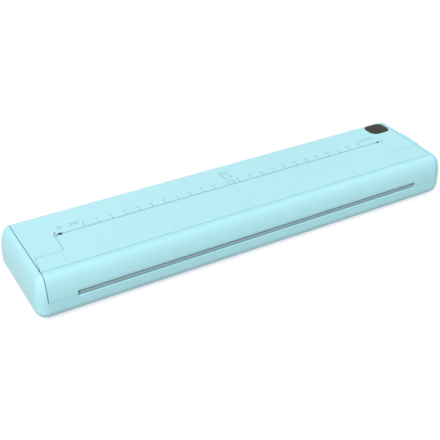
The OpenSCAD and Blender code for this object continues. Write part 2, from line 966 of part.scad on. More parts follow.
// Flat ribbon from the underside of the head, along the floor and up to the circuit board
module head_flat_cable() {
    x = [cable_x, cable_x + cable_width];
    head_y = heatsink_rear_y - 4.2;
    board_y = board_front_y - 0.9;
    low = floor_z + 0.1;
    high = board_top_z + cable_rise;
    t = cable_thickness;
    color(ceramic_white) {
        box(x, [head_y, head_y + t], [low, heatsink_z]);
        box(x, [head_y, board_y], [low, low + t]);
        box(x, [board_y - t, board_y], [low, high]);
        box(x, [board_y - t, board_front_y + 0.5], [high - t, high]);
    }
}

// ---- Frame and gear train ----

// Upright plate with two feet, at the right end
module side_plate(rear_y) {
    inside = plate_x;
    outside = plate_x + plate_thickness;
    box([inside, outside], [plate_front_y, rear_y], [floor_z + pad_height, plate_top_z]);
    for (y = flange_ys)
        box([inside, outside + flange_length - over], [y - flange_width / 2, y + flange_width / 2],
            [floor_z + pad_height, floor_z + pad_height + plate_thickness]);
}

module plate_screw_holes() {
    for (y = flange_ys)
        rod_z([plate_screw_x, y], [floor_z, floor_z + pad_height + 2 * plate_thickness],
            small_screw_radius + close_fit);
}

module left_side_plate() {
    through = [plate_x - over, plate_x + plate_thickness + over];
    color(zinc)
        mirror([1, 0, 0])
            difference() {
                side_plate(motor[0] + motor_ear + motor_ear_radius);
                plate_screw_holes();
                rod_x(through, idler, axle_radius + close_fit);
                rod_x(through, reduction, axle_radius + close_fit);
                rod_x(through, motor, motor_boss_radius + close_fit);
                for (side = [-1, 1])
                    rod_x(through, motor + [side * motor_ear, 0], small_screw_radius + close_fit);
            }
}

module right_side_plate() {
    color(zinc)
        difference() {
            side_plate(hinge_y + 8);
            plate_screw_holes();
            box([plate_x - over, plate_x + plate_thickness + over],
                [latch_rail_y - latch_rail_width / 2 - 0.2, latch_rail_y + latch_rail_width / 2 + 0.2],
                [latch_z - 0.2, latch_z + latch_thickness + 0.2]);
        }
}

module plate_screws() {
    top = floor_z + pad_height + plate_thickness;
    color(zinc)
        at_both_ends()
            for (y = flange_ys) {
                rod_z([plate_screw_x, y], [floor_z + 0.6, top], small_screw_radius);
                rod_z([plate_screw_x, y], [top, top + small_head_height], small_head_radius);
            }
}

module gear_axles() {
    color(steel)
        mirror([1, 0, 0])
            for (spot = [idler, reduction]) {
                rod_x([near_layer_x - 0.2, plate_x + plate_thickness], spot, axle_radius);
                rod_x([near_layer_x - 0.7, near_layer_x - 0.2], spot, axle_radius + 0.6);
            }
}

module idler_gear() {
    color(gear_white)
        mirror([1, 0, 0])
            difference() {
                gear(idler, [near_layer_x, near_layer_x + gear_width], idler_teeth, idler_phase);
                rod_x([near_layer_x - 1, near_layer_x + gear_width + 1], idler, axle_radius + running_fit);
            }
}

module reduction_gear() {
    color(gear_white)
        mirror([1, 0, 0])
            difference() {
                union() {
                    gear(reduction, [near_layer_x, far_layer_x + over], small_teeth, small_phase);
                    gear(reduction, [far_layer_x, far_layer_x + far_width], large_teeth, large_phase);
                }
                rod_x([near_layer_x - 1, plate_x], reduction, axle_radius + running_fit);
            }
}

module motor_pinion() {
    color(brass)
        mirror([1, 0, 0])
            difference() {
                gear(motor, [far_layer_x, far_layer_x + far_width], pinion_teeth, pinion_phase);
                rod_x([far_layer_x - 1, plate_x], motor, motor_shaft_radius);
            }
}

module motor_shaft() {
    color(steel)
        mirror([1, 0, 0])
            rod_x([far_layer_x, plate_x + plate_thickness + 3], motor, motor_shaft_radius);
}

module motor_can() {
    face_x = plate_x + plate_thickness;
    color(zinc)
        mirror([1, 0, 0])
            difference() {
                union() {
                    rod_x([face_x, face_x + motor_length], motor, motor_radius);
                    rod_x([plate_x + 0.1, face_x + over], motor, motor_boss_radius);
                    slab_x([face_x, face_x + motor_ear_thickness])
                        translate(motor) {
                            square([2 * motor_ear, 2 * motor_ear_radius], center = true);
                            for (side = [-1, 1])
                                translate([side * motor_ear, 0])
                                    circle(r = motor_ear_radius);
                        }
                }
                rod_x([plate_x - over, face_x + 3.4], motor, motor_shaft_radius + running_fit);
                for (side = [-1, 1])
                    rod_x([face_x - over, face_x + motor_ear_thickness + over],
                        motor + [side * motor_ear, 0], small_screw_radius + close_fit);
            }
}

module motor_screws() {
    ear_x = plate_x + plate_thickness + motor_ear_thickness;
    color(zinc)
        mirror([1, 0, 0])
            for (side = [-1, 1]) {
                spot = motor + [side * motor_ear, 0];
                rod_x([plate_x + 0.1, ear_x], spot, small_screw_radius);
                rod_x([ear_x, ear_x + small_head_height], spot, small_head_radius);
            }
}

module hinge_pins() {
    color(steel)
        at_both_ends()
            rod_x([knuckle_x + 0.1, tongue_x + ear_width + 0.2], [hinge_y, hinge_z], hinge_pin_radius);
}

// ---- Paper guide and sensor ----

module paper_guide() {
    inside = paper_half + 0.6;
    outer = chute_radius + chute_wall;
    low_y = heatsink_rear_y + 1.7;
    rib_y = [low_y, chute_y + 9];
    color(inner_blue)
        difference() {
            union() {
                slab_x([-inside, inside])
                    difference() {
                        translate([chute_y, chute_z])
                            circle(r = outer, $fn = 96);
                        translate([low_y - 40, chute_z - outer - 1])
                            square([40, 2 * outer + 2]);
                        translate([chute_y - outer - 1, roof_z - 0.2])
                            square([2 * outer + 2, 2 * outer]);
                    }
                for (x = guide_rib_xs)
                    box([x - 0.8, x + 0.8], rib_y, [floor_z, chute_z - chute_radius - 0.2]);
            }
            rod_x([-inside - over, inside + over], [chute_y, chute_z], chute_radius);
        }
}

module paper_sensor() {
    color(soft_black) {
        box([sensor_spot - sensor_size[0] / 2, sensor_spot + sensor_size[0] / 2],
            [sensor_y, sensor_y + sensor_size[1]], [sensor_z, sensor_z + sensor_size[2]]);
        for (x = [sensor_spot - 1.4, sensor_spot + 1.4])
            rod_z([x, sensor_y + sensor_size[1] / 2], [sensor_z + over, slot_bottom_z + 0.1],
                sensor_eye_radius);
    }
}

// ---- Battery ----

module battery_tray() {
    y = [cell_y - cell_radius - tray_side, cell_y + cell_radius + tray_side];
    low = [floor_z, floor_z + tray_height];
    high = [floor_z, cell_z + tray_end_rise];
    color(inner_blue)
        difference() {
            union() {
                slab_x([tray_left_x, tray_right_x])
                    tray_section(y, low);
                for (x = [tray_left_x, tray_right_x - tray_wall])
                    slab_x([x, x + tray_wall])
                        tray_section(y, high);
            }
            rod_x([tray_left_x + tray_wall, tray_right_x - tray_wall], [cell_y, cell_z],
                cell_radius + cell_fit);
            rod_x([tray_left_x - over, tray_right_x + over], [cell_y, cell_z], lead_hole_radius);
        }
}

// The rear lower edge is cut off where the base shell rounds up
module tray_section(y, z) {
    cut = bottom_corner - wall - 1;
    polygon([
        [y[0], z[0]],
        [y[1] - 0.9 * cut, z[0]],
        [y[1], z[0] + 0.45 * cut],
        [y[1], z[1]],
        [y[0], z[1]]
    ]);
}

module battery_cells() {
    start = tray_left_x + tray_wall + contact_thickness + contact_bump + 0.1;
    color([0.20, 0.42, 0.62])
        for (x = [start, start + cell_length + 1]) {
            rod_x([x, x + cell_length - cell_nub], [cell_y, cell_z], cell_radius);
            rod_x([x + cell_length - cell_nub - over, x + cell_length], [cell_y, cell_z], cell_nub_radius);
        }
}

module battery_contacts() {
    left = tray_left_x + tray_wall;
    right = tray_right_x - tray_wall;
    reach = contact_thickness + contact_bump;
    square_y = [cell_y - contact_size / 2, cell_y + contact_size / 2];
    square_z = [cell_z - contact_size / 2, cell_z + contact_size / 2];
    color(steel) {
        box([left, left + contact_thickness], square_y, square_z);
        rod_x([left, left + reach], [cell_y, cell_z], contact_bump_radius);
        box([right - contact_thickness, right], square_y, square_z);
        rod_x([right - reach, right], [cell_y, cell_z], contact_bump_radius);
    }
}

// ---- Electronics ----

module main_board() {
    color(board_green)
        difference() {
            box([board_left_x, board_right_x], [board_front_y, board_rear_y], [board_z, board_top_z]);
            for (s = board_screw_spots)
                rod_z(s, [board_z - over, board_top_z + over], small_screw_radius + close_fit);
        }
}

// Parts on the board: [middle of the part, size of the part]
module board_components() {
    middle_y = (board_front_y + board_rear_y) / 2;
    blocks = [
        [[cable_x + cable_width / 2, board_front_y + 2.1], [cable_width + 3, 3, 2]],
        [[board_left_x + 15, middle_y + 3], [9, 9, 1.2]],
        [[board_left_x + 29, middle_y + 4], [14, 10, 1.8]],
        [[board_left_x + 41, middle_y + 3.5], [6, 6, 3]],
        [[board_left_x + 41, middle_y - 3.5], [5, 4, 1.4]],
        [[board_left_x + 6.4, middle_y + 0.6], [5, 6, 4.4]],
        [[board_right_x - 9, board_front_y + 3], [7, 4, 4.4]],
        [[board_left_x + 23, middle_y - 4], [4, 3, 1.2]],
        [[board_left_x + 30, middle_y - 4], [4, 3, 1.2]]
    ];
    color(soft_black)
        for (b = blocks)
            translate([b[0][0], b[0][1], board_top_z + b[1][2] / 2])
                cube(b[1], center = true);
    color(aluminium)
        for (x = [board_right_x - 3, board_right_x - 20])
            rod_z([x, middle_y + 1], [board_top_z, board_top_z + 5.4], 2.5);
}

module usb_socket() {
    color(steel)
        slab_y([usb_rear_y - usb_length, usb_rear_y])
            translate([usb_x, board_top_z + usb_height / 2])
                difference() {
                    rounded_square([usb_width, usb_height], usb_corner);
                    difference() {
                        rounded_square([usb_width - 2 * usb_sheet, usb_height - 2 * usb_sheet],
                            usb_corner - usb_sheet);
                        square([usb_width - 2.2, 0.8], center = true);
                    }
                }
    color(steel)
        box([usb_x - 2.5, usb_x + 2.5], [usb_rear_y - usb_length - 0.3, usb_rear_y - usb_length],
            [board_top_z, board_top_z + usb_height - 0.4]);
}

module board_screws() {
    color(zinc) {
        for (s = board_screw_spots) {
            rod_z(s, [floor_z + 0.6, board_top_z], small_screw_radius);
            rod_z(s, [board_top_z, board_top_z + small_head_height], small_head_radius);
        }
        for (s = button_screw_spots) {
            top = switch_board_z + switch_board_thickness;
            rod_z(s, [switch_board_z - 4, top], small_screw_radius);
            rod_z(s, [top, top + small_head_height], small_head_radius);
        }
    }
}

module button_board() {
    color(board_green)
        difference() {
            translate([power_x, power_y, switch_board_z + switch_board_thickness / 2])
                cube(concat(switch_board_size, switch_board_thickness), center = true);
            for (s = button_screw_spots)
                rod_z(s, [switch_board_z - over, switch_board_z + 2], small_screw_radius + close_fit);
        }
}

module power_switch() {
    low = switch_board_z + switch_board_thickness;
    color(steel)
        box([power_x - switch_size / 2, power_x + switch_size / 2],
            [power_y - switch_size / 2, power_y + switch_size / 2], [low, low + switch_body]);
    color(soft_black)
        rod_z([power_x, power_y], [low + switch_body, switch_top_z], switch_key_radius);
}

// ---- Buttons and latch ----

module power_button() {
    color(soft_black)
        union() {
            intersection() {
                translate([0, 0, power_proud])
                    case_block(0);
                translate([power_x, power_y, power_floor_z])
                    linear_extrude(height = 10)
                        rounded_square([power_width, power_depth], power_corner);
            }
            box([power_x - power_width / 2 - 0.7, power_x + power_width / 2 + 0.5],
                [power_y - power_depth / 2 - 1, power_y + 1], [roof_z - 1.1, roof_z - 0.3]);
            rod_z([power_x, power_y], [stem_z, power_floor_z + over], stem_radius);
        }
}

// Raised strip on the right end. Its inner part is lower and slides in under the roof.
module release_button() {
    middle_z = (release_low_z + release_top_z) / 2;
    height = release_top_z - release_low_z;
    color(shell_blue)
        intersection() {
            translate([release_inner_x, release_y, middle_z])
                rotate([90, 0, 90])
                    linear_extrude(height = release_outer_x - release_inner_x)
                        rounded_square([release_width, height], release_corner);
            slab_y([front_y, half_depth])
                polygon(concat(
                    [[release_inner_x - over, release_low_z - over]],
                    [[release_outer_x, release_low_z - over]],
                    arc_points([release_outer_x, release_top_z] - release_round, release_round, 0, 75,
                        edge_steps),
                    [[release_step_x, release_top_z + over]],
                    [[release_step_x, release_high_z]],
                    [[release_inner_x - over, release_high_z]]
                ));
        }
}

// Sliding latch behind the release button, with the nose that holds the cover's striker
module latch_slider() {
    z = [latch_z, latch_z + latch_thickness];
    rail = [latch_rail_y - latch_rail_width / 2, latch_rail_y + latch_rail_width / 2];
    plate_x0 = release_inner_x - latch_plate;
    color(gear_white) {
        box([plate_x - 2, release_inner_x], rail, z);
        box([plate_x0, release_inner_x], [rail[0], release_y + release_width / 2 - 3],
            [release_low_z + 0.4, release_high_z - 0.8]);
        box([latch_arm_x, striker_x - latch_clearance], [striker_y - 1, rail[0] + over], z);
        rod_x([plate_x0 - latch_peg_length, plate_x0 + over], [latch_spring_y, latch_spring_z],
            latch_peg_radius);
    }
}

module latch_spring() {
    x = [plate_x + plate_thickness + 0.05, release_inner_x - latch_plate - 0.05];
    color(steel)
        difference() {
            rod_x(x, [latch_spring_y, latch_spring_z], latch_spring_radius);
            rod_x([x[0] - over, x[1] + over], [latch_spring_y, latch_spring_z],
                latch_spring_radius - latch_spring_wire);
        }
}

// ---- Screws and feet ----

module case_screws() {
    head_top = base_z + case_well_depth;
    color(zinc) {
        for (s = rear_screws)
            screw(s, [head_top, seam_z + screw_bite], case_screw_radius, case_head_radius,
                case_head_height);
        for (s = concat(left_cap_screws, right_cap_screws))
            screw(s, [head_top, seam_z + cap_boss_height], case_screw_radius, case_head_radius,
                case_head_height);
    }
}

module rubber_feet() {
    color(rubber_black)
        for (f = foot_spots)
            rod_z(f, [0, base_z + foot_recess], foot_radius);
}

base_shell();
rear_shell();
left_end_cap();
right_end_cap();
top_cover();
platen_carrier();
carrier_screws();
platen_shaft();
platen_rubber();
platen_bushes();
platen_gear();
shaft_clips();
head_heatsink();
head_ceramic();
head_driver_board();
head_chip_cover();
head_springs();
head_flat_cable();
left_side_plate();
right_side_plate();
plate_screws();
gear_axles();
idler_gear();
reduction_gear();
motor_pinion();
motor_shaft();
motor_can();
motor_screws();
hinge_pins();
paper_guide();
paper_sensor();
battery_tray();
battery_cells();
battery_contacts();
main_board();
board_components();
usb_socket();
board_screws();
button_board();
power_switch();
power_button();
release_button();
latch_slider();
latch_spring();
case_screws();
rubber_feet();
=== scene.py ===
import bpy
import bmesh
from math import acos, cos, pi, radians, sin, sqrt
from mathutils import Matrix, Vector


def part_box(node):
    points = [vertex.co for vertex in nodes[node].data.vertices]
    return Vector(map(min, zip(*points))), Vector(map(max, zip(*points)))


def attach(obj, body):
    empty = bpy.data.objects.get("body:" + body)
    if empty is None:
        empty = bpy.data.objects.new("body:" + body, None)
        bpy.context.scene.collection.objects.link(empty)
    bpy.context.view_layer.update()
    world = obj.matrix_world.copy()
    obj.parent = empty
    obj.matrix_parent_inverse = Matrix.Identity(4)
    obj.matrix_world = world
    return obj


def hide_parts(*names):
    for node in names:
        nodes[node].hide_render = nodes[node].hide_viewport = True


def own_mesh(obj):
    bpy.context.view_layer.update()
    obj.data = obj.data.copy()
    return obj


# A slim battery printer for A4 sheets, pale blue, with a hinged cover over its roller.
# Everything is in metres and sits on the frame. The lengths in the dictionaries are millimetres.

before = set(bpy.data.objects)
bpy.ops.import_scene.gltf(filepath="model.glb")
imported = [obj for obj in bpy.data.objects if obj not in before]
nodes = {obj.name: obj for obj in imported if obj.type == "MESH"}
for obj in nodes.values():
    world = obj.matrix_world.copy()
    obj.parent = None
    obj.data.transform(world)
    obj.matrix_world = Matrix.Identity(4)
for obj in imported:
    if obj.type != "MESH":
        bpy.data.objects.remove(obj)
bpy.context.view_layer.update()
mm = 0.001


# ---- small helpers

def srgb(r, g, b):
    # a colour as seen on screen, 0 to 255, turned into the light values that shaders use
    def lin(c):
        c = c / 255
        return c / 12.92 if c <= 0.04045 else ((c + 0.055) / 1.055) ** 2.4
    return (lin(r), lin(g), lin(b), 1)


def spread(a, b, steps):
    return [a + (b - a) * i / steps for i in range(steps + 1)]


def arc(start, end, steps):
    # cosine and sine at even steps between two angles in degrees
    return [(cos(radians(a)), sin(radians(a))) for a in spread(start, end, steps)]


def circle(sides):
    return [(cos(2 * pi * k / sides), sin(2 * pi * k / sides)) for k in range(sides)]


def addObject(name, data):
    obj = bpy.data.objects.new(name, data)
    bpy.context.scene.collection.objects.link(obj)
    return obj


def newMesh(name, bm):
    mesh = bpy.data.meshes.new(name)
    bm.to_mesh(mesh)
    bm.free()
    return addObject(name, mesh)


def solidMesh(name, bm):
    # a closed mesh, with all its faces turned outwards
    bmesh.ops.recalc_face_normals(bm, faces=bm.faces)
    return newMesh(name, bm)


def applyModifiers(obj):
    depsgraph = bpy.context.evaluated_depsgraph_get()
    mesh = bpy.data.meshes.new_from_object(obj.evaluated_get(depsgraph))
    old = obj.data
    obj.modifiers.clear()
    obj.data = mesh
    bpy.data.meshes.remove(old)


def addModifier(obj, kind, **settings):
    mod = obj.modifiers.new(kind.lower(), kind)
    for key, value in settings.items():
        setattr(mod, key, value)
    return mod


def dropObject(obj):
    mesh = obj.data
    bpy.data.objects.remove(obj)
    bpy.data.meshes.remove(mesh)


def boolean(obj, other, operation="DIFFERENCE", keep=False, selfCrossing=False):
    # cuts, joins or meets obj with other, which is used up unless it is kept
    addModifier(obj, "BOOLEAN", operation=operation, object=other, solver="EXACT",
                use_self=selfCrossing)
    applyModifiers(obj)
    if not keep:
        dropObject(other)


def smoothShade(obj, sharpAngle=32):
    # faces are smooth, edges over the angle stay sharp, and flat faces keep their flat look
    bm = bmesh.new()
    bm.from_mesh(obj.data)
    limit = radians(sharpAngle)
    for face in bm.faces:
        face.smooth = True
    for edge in bm.edges:
        edge.smooth = not edge.is_manifold or edge.calc_face_angle(0) < limit
    bm.to_mesh(obj.data)
    bm.free()
    addModifier(obj, "WEIGHTED_NORMAL", keep_sharp=True, weight=80)
    addModifier(obj, "TRIANGULATE", min_vertices=5, ngon_method="CLIP", keep_custom_normals=True)


def bevelEdges(obj, width, segments, angle):
    addModifier(obj, "BEVEL", width=width * mm, segments=segments, limit_method="ANGLE",
                angle_limit=radians(angle), use_clamp_overlap=True, miter_outer="MITER_ARC")
    applyModifiers(obj)


def addPoint(bm, spot):
    return bm.verts.new([c * mm for c in spot])


def gridFaces(bm, rows, skip=lambda i, j: False, closed=False):
    # faces between neighbouring rows of corners; closed joins each row's end to its start
    for i in range(len(rows) - 1):
        count = len(rows[i])
        for j in range(count if closed else count - 1):
            if not skip(i, j):
                n = (j + 1) % count
                bm.faces.new((rows[i][j], rows[i][n], rows[i + 1][n], rows[i + 1][j]))


def tubeFaces(bm, rings):
    # a closed solid from rings of corners, with a face at both ends
    gridFaces(bm, rings, closed=True)
    bm.faces.new(rings[-1])
    bm.faces.new(list(reversed(rings[0])))


def acrossOf(axis):
    return [k for k in range(3) if k != axis]


def spotAt(axis, level, across):
    # a place from its level along one axis and its two values across it
    u, v = acrossOf(axis)
    spot = [0, 0, 0]
    spot[axis], spot[u], spot[v] = level, across[0], across[1]
    return spot


def turned(bm, profile, centre, axis=2, sides=28):
    # a closed turned solid: profile is a list of (radius, height), from bottom to top
    rings = []
    for radius, height in profile:
        ring = [(centre[0] + radius * c, centre[1] + radius * s) for c, s in circle(sides)]
        rings.append([addPoint(bm, spotAt(axis, height, across)) for across in ring])
    tubeFaces(bm, rings)


def turnedMesh(name, profile, centre, sides=40):
    bm = bmesh.new()
    turned(bm, profile, centre, sides=sides)
    return solidMesh(name, bm)


def prism(name, outline, low, high):
    # an upright block from an outline of (x, y) points
    bm = bmesh.new()
    bottom = [addPoint(bm, (x, y, low)) for x, y in outline]
    face = bm.faces.new(bottom)
    made = bmesh.ops.extrude_face_region(bm, geom=[face])
    for v in made["geom"]:
        if isinstance(v, bmesh.types.BMVert):
            v.co.z = high * mm
    return solidMesh(name, bm)


def prismAlongX(name, outline, left, right):
    # a block along the case from an outline of (y, z) points
    block = prism(name, outline, left, right)
    yzUp = ((0, 0, 1, 0), (1, 0, 0, 0), (0, 1, 0, 0), (0, 0, 0, 1))
    block.data.transform(Matrix(yzUp))
    return block


def roundedOutline(corners, steps=5):
    # corners are (x, y, radius), walked one way round; radius 0 keeps the corner sharp
    points = []
    count = len(corners)
    for i, (x, y, r) in enumerate(corners):
        if r <= 0:
            points.append((x, y))
            continue
        here = Vector((x, y))
        before = (Vector(corners[i - 1][:2]) - here).normalized()
        after = (Vector(corners[(i + 1) % count][:2]) - here).normalized()
        half = before.angle(after) / 2
        reach = r / (sin(half) / cos(half))
        start = here + before * reach
        end = here + after * reach
        centre = here + (before + after).normalized() * (r / sin(half))
        a = start - centre
        b = end - centre
        turn = a.angle_signed(b)
        for k in range(steps + 1):
            # angle_signed is clockwise positive
            points.append(tuple(centre + Matrix.Rotation(-turn * k / steps, 2) @ a))
    return points


def rectangle(x0, x1, y0, y1, radius=0.0):
    # the corners of a rectangle, for roundedOutline
    return [(x0, y0, radius), (x1, y0, radius), (x1, y1, radius), (x0, y1, radius)]


# ---- camera, at the place the photo was taken from

cameraPlan = {
    "place": (-0.22864, -0.36343, 0.28952),     # metres
    "turn": 0.540,      # to the right of straight ahead, radians
    "tilt": 0.586,      # down
    "roll": 0.022,
    "lens": 69.89,
}


def makeCamera():
    plan = cameraPlan
    turn, tilt, roll = plan["turn"], plan["tilt"], plan["roll"]
    ahead = Vector((sin(turn) * cos(tilt), cos(turn) * cos(tilt), -sin(tilt)))
    side = Vector((cos(turn), -sin(turn), 0))
    up = side.cross(ahead)
    right = side * cos(roll) + up * sin(roll)
    above = up * cos(roll) - side * sin(roll)
    data = bpy.data.cameras.new("photoCamera")
    data.lens = plan["lens"]
    data.sensor_width = 36
    camera = addObject("photoCamera", data)
    axes = Matrix((right, above, -ahead)).transposed().to_4x4()
    camera.matrix_world = Matrix.Translation(plan["place"]) @ axes
    bpy.context.scene.camera = camera


makeCamera()
print("camera placed")


# ---- materials

def newMaterial(name):
    mat = bpy.data.materials.new(name)
    mat.use_nodes = True
    shader = mat.node_tree.nodes["Principled BSDF"]
    return mat, mat.node_tree, shader


def addNode(tree, kind, **inputs):
    node = tree.nodes.new(kind)
    for key, value in inputs.items():
        node.inputs[key].default_value = value
    return node


def objectCoords(tree, scale=(1, 1, 1)):
    coords = tree.nodes.new("ShaderNodeTexCoord")
    mapping = tree.nodes.new("ShaderNodeMapping")
    mapping.inputs["Scale"].default_value = scale
    tree.links.new(coords.outputs["Object"], mapping.inputs["Vector"])
    return mapping.outputs["Vector"]


def ramp(tree, source, stops):
    node = tree.nodes.new("ShaderNodeValToRGB")
    node.color_ramp.elements[0].position, node.color_ramp.elements[0].color = stops[0]
    node.color_ramp.elements[1].position, node.color_ramp.elements[1].color = stops[-1]
    for place, colour in stops[1:-1]:
        node.color_ramp.elements.new(place).color = colour
    tree.links.new(source, node.inputs["Fac"])
    return node.outputs["Color"]


def grey(v):
    return (v, v, v, 1)


def shaded(colour, factor):
    return tuple(min(1, c * factor) for c in colour[:3]) + (1,)


def noiseOn(tree, at, scale, detail=3.0, roughness=0.6):
    node = addNode(tree, "ShaderNodeTexNoise", Scale=scale, Detail=detail, Roughness=roughness)
    tree.links.new(at, node.inputs["Vector"])
    return node.outputs["Fac"]


def addColour(tree, shader, pattern, stops):
    tree.links.new(ramp(tree, pattern, stops), shader.inputs["Base Color"])


def addSheen(tree, shader, pattern, roughness, sway, bump, depth, relief=None):
    # roughness that follows a pattern, and a low relief of the same or another pattern
    stops = [(0.3, grey(roughness - sway)), (0.7, grey(roughness + sway))]
    tree.links.new(ramp(tree, pattern, stops), shader.inputs["Roughness"])
    height = addNode(tree, "ShaderNodeBump", Strength=bump, Distance=depth * mm)
    tree.links.new(relief or pattern, height.inputs["Height"])
    tree.links.new(height.outputs["Normal"], shader.inputs["Normal"])


def mouldedPlastic(name, colour, drift, roughness, sway, grain, bump, coat=0.0, specular=0.5):
    # fine spark-eroded texture from the mould, with a slight drift of shade over the part
    mat, tree, shader = newMaterial(name)
    at = objectCoords(tree)
    shade = noiseOn(tree, at, 18.0, 2.0, 0.5)
    fine = noiseOn(tree, at, grain)
    addColour(tree, shader, shade, [(0.3, shaded(colour, 1 - drift)), (0.7, shaded(colour, 1 + drift))])
    addSheen(tree, shader, fine, roughness, sway, bump, 0.05)
    shader.inputs["Specular IOR Level"].default_value = specular
    if coat:
        shader.inputs["Coat Weight"].default_value = coat
        shader.inputs["Coat Roughness"].default_value = 0.12
    return mat


def brushedMetal(name, colour, roughness, stretch, scale=400.0):
    # drawn or ground metal: noise pulled out along one direction
    mat, tree, shader = newMaterial(name)
    streaks = noiseOn(tree, objectCoords(tree, stretch), scale)
    addColour(tree, shader, streaks, [(0.35, shaded(colour, 0.82)), (0.65, colour)])
    addSheen(tree, shader, streaks, roughness, 0.07, 0.15, 0.03)
    shader.inputs["Metallic"].default_value = 1.0
    return mat


def speckledCoat(name, colour, speckle, roughness, scale, spotSize, specular=0.5):
    # a coat with small spots or pits in it, for rubber, solder mask and ceramic glaze
    mat, tree, shader = newMaterial(name)
    at = objectCoords(tree)
    cells = addNode(tree, "ShaderNodeTexVoronoi", Scale=scale)
    tree.links.new(at, cells.inputs["Vector"])
    stops = [(spotSize, speckle), (spotSize * 2.2, colour)]
    addColour(tree, shader, cells.outputs["Distance"], stops)
    addSheen(tree, shader, noiseOn(tree, at, scale * 0.4), roughness, 0.08, 0.3, 0.04)
    shader.inputs["Specular IOR Level"].default_value = specular
    return mat


def stripedFilm(name, ground, stripe, period, roughness):
    # even stripes along x, for conductor tracks and ribbon cable
    mat, tree, shader = newMaterial(name)
    at = objectCoords(tree)
    # a wave of scale 1 repeats every 0.314 metres
    wave = addNode(tree, "ShaderNodeTexWave", Scale=0.314 / (period * mm))
    wave.wave_profile = "TRI"
    tree.links.new(at, wave.inputs["Vector"])
    addColour(tree, shader, wave.outputs["Fac"], [(0.44, stripe), (0.56, ground)])
    fine = noiseOn(tree, at, 2400.0, 2.0, 0.5)
    addSheen(tree, shader, fine, roughness, 0.05, 0.2, 0.03, relief=wave.outputs["Fac"])
    return mat


def gradedCoat(name, low, high, levels, roughness):
    # a colour that goes from one to another over a height, with a fine mottle; it carries painted light
    # and shade on the slot's ramp
    mat, tree, shader = newMaterial(name)
    at = objectCoords(tree)
    axes = tree.nodes.new("ShaderNodeSeparateXYZ")
    tree.links.new(at, axes.inputs[0])
    grade = tree.nodes.new("ShaderNodeMapRange")
    grade.inputs["From Min"].default_value = levels[0] * mm
    grade.inputs["From Max"].default_value = levels[1] * mm
    tree.links.new(axes.outputs["Z"], grade.inputs["Value"])
    addColour(tree, shader, grade.outputs["Result"], [(0.0, low), (1.0, high)])
    addSheen(tree, shader, noiseOn(tree, at, 4000.0, 2.0, 0.5), roughness, 0.05, 0.15, 0.02)
    return mat


plasticLook = {
    "shell": srgb(182, 236, 244),
    "inside": srgb(150, 206, 214),
    "tickInk": srgb(112, 162, 170),
    "paleInk": srgb(134, 186, 194),
    "darkInk": srgb(74, 104, 112),
    # painted shade: near black for the pieces in the holes at the slit's ends
    "slitShade": srgb(34, 50, 56),
    "button": srgb(41, 42, 38),
    # painted shade: the darker colour of the slot's lip strip and of the lit front of its ramp
    "slot": srgb(130, 164, 170),
    # painted light: a pale colour for the ramp's top, which lies in the slot's shadow
    "slotDeepPaintedLight": srgb(206, 228, 231),
}

# colour, drift of shade, roughness and its sway, grain, bump
shellPlastic = mouldedPlastic("shellPlastic", plasticLook["shell"], 0.012, 0.40, 0.05, 5200.0, 0.12,
                              specular=0.28)
innerPlastic = mouldedPlastic("innerPlastic", plasticLook["inside"], 0.03, 0.52, 0.06, 4200.0, 0.2)
buttonPlastic = mouldedPlastic("buttonPlastic", plasticLook["button"], 0.05, 0.50, 0.06, 6000.0, 0.2,
                               specular=0.2)
# painted shade on the thin strip over the slot's lip
slotShadeFilm = mouldedPlastic("slotShadeFilm", plasticLook["slot"], 0.03, 0.60, 0.05, 4000.0, 0.15, specular=0.2)
# painted shade for the pieces in the holes at the ends of the slit
slitShadePlastic = mouldedPlastic("slitShadePlastic", plasticLook["slitShade"], 0.05, 0.30, 0.04, 3000.0, 0.1)
gearPlastic = mouldedPlastic("gearPlastic", srgb(232, 229, 218), 0.03, 0.38, 0.05, 3000.0, 0.1)
chipPlastic = mouldedPlastic("chipPlastic", srgb(44, 44, 46), 0.08, 0.55, 0.08, 9000.0, 0.3)
glazeBrown = mouldedPlastic("glazeBrown", srgb(88, 62, 46), 0.06, 0.14, 0.03, 1800.0, 0.05, coat=0.6)
cellSleeve = mouldedPlastic("cellSleeve", srgb(58, 112, 160), 0.05, 0.3, 0.04, 900.0, 0.1, coat=0.3)
tickInk, paleInk, darkInk = [
    mouldedPlastic(ink, plasticLook[ink], 0.02, 0.6, 0.05, 5000.0, 0.1, specular=0.28)
    for ink in ("tickInk", "paleInk", "darkInk")]
# ground, stripe, their period in millimetres, roughness
ribbonPlastic = stripedFilm("ribbonPlastic", srgb(228, 228, 220), srgb(168, 170, 172), 1.0, 0.35)
trackFilm = stripedFilm("trackFilm", srgb(222, 219, 208), srgb(186, 158, 96), 0.6, 0.3)
# painted light and shade on the ramp: darker low down where the lamp reaches it, lighter at its top in
# the slot's shadow
guideLightAndShade = gradedCoat("guideLightAndShade", plasticLook["slot"], plasticLook["slotDeepPaintedLight"], (12.45, 12.8), 0.55)
# colour, speckle, roughness, scale, size of the spots
rollerRubber = speckledCoat("rollerRubber", srgb(38, 38, 40), srgb(48, 48, 50), 0.72, 2600.0, 0.15,
                            specular=0.3)
boardCoat = speckledCoat("boardCoat", srgb(26, 92, 52), srgb(196, 170, 92), 0.36, 320.0, 0.045)
ceramicGlaze = speckledCoat("ceramicGlaze", srgb(226, 224, 214), srgb(205, 202, 190), 0.22, 900.0, 0.1)
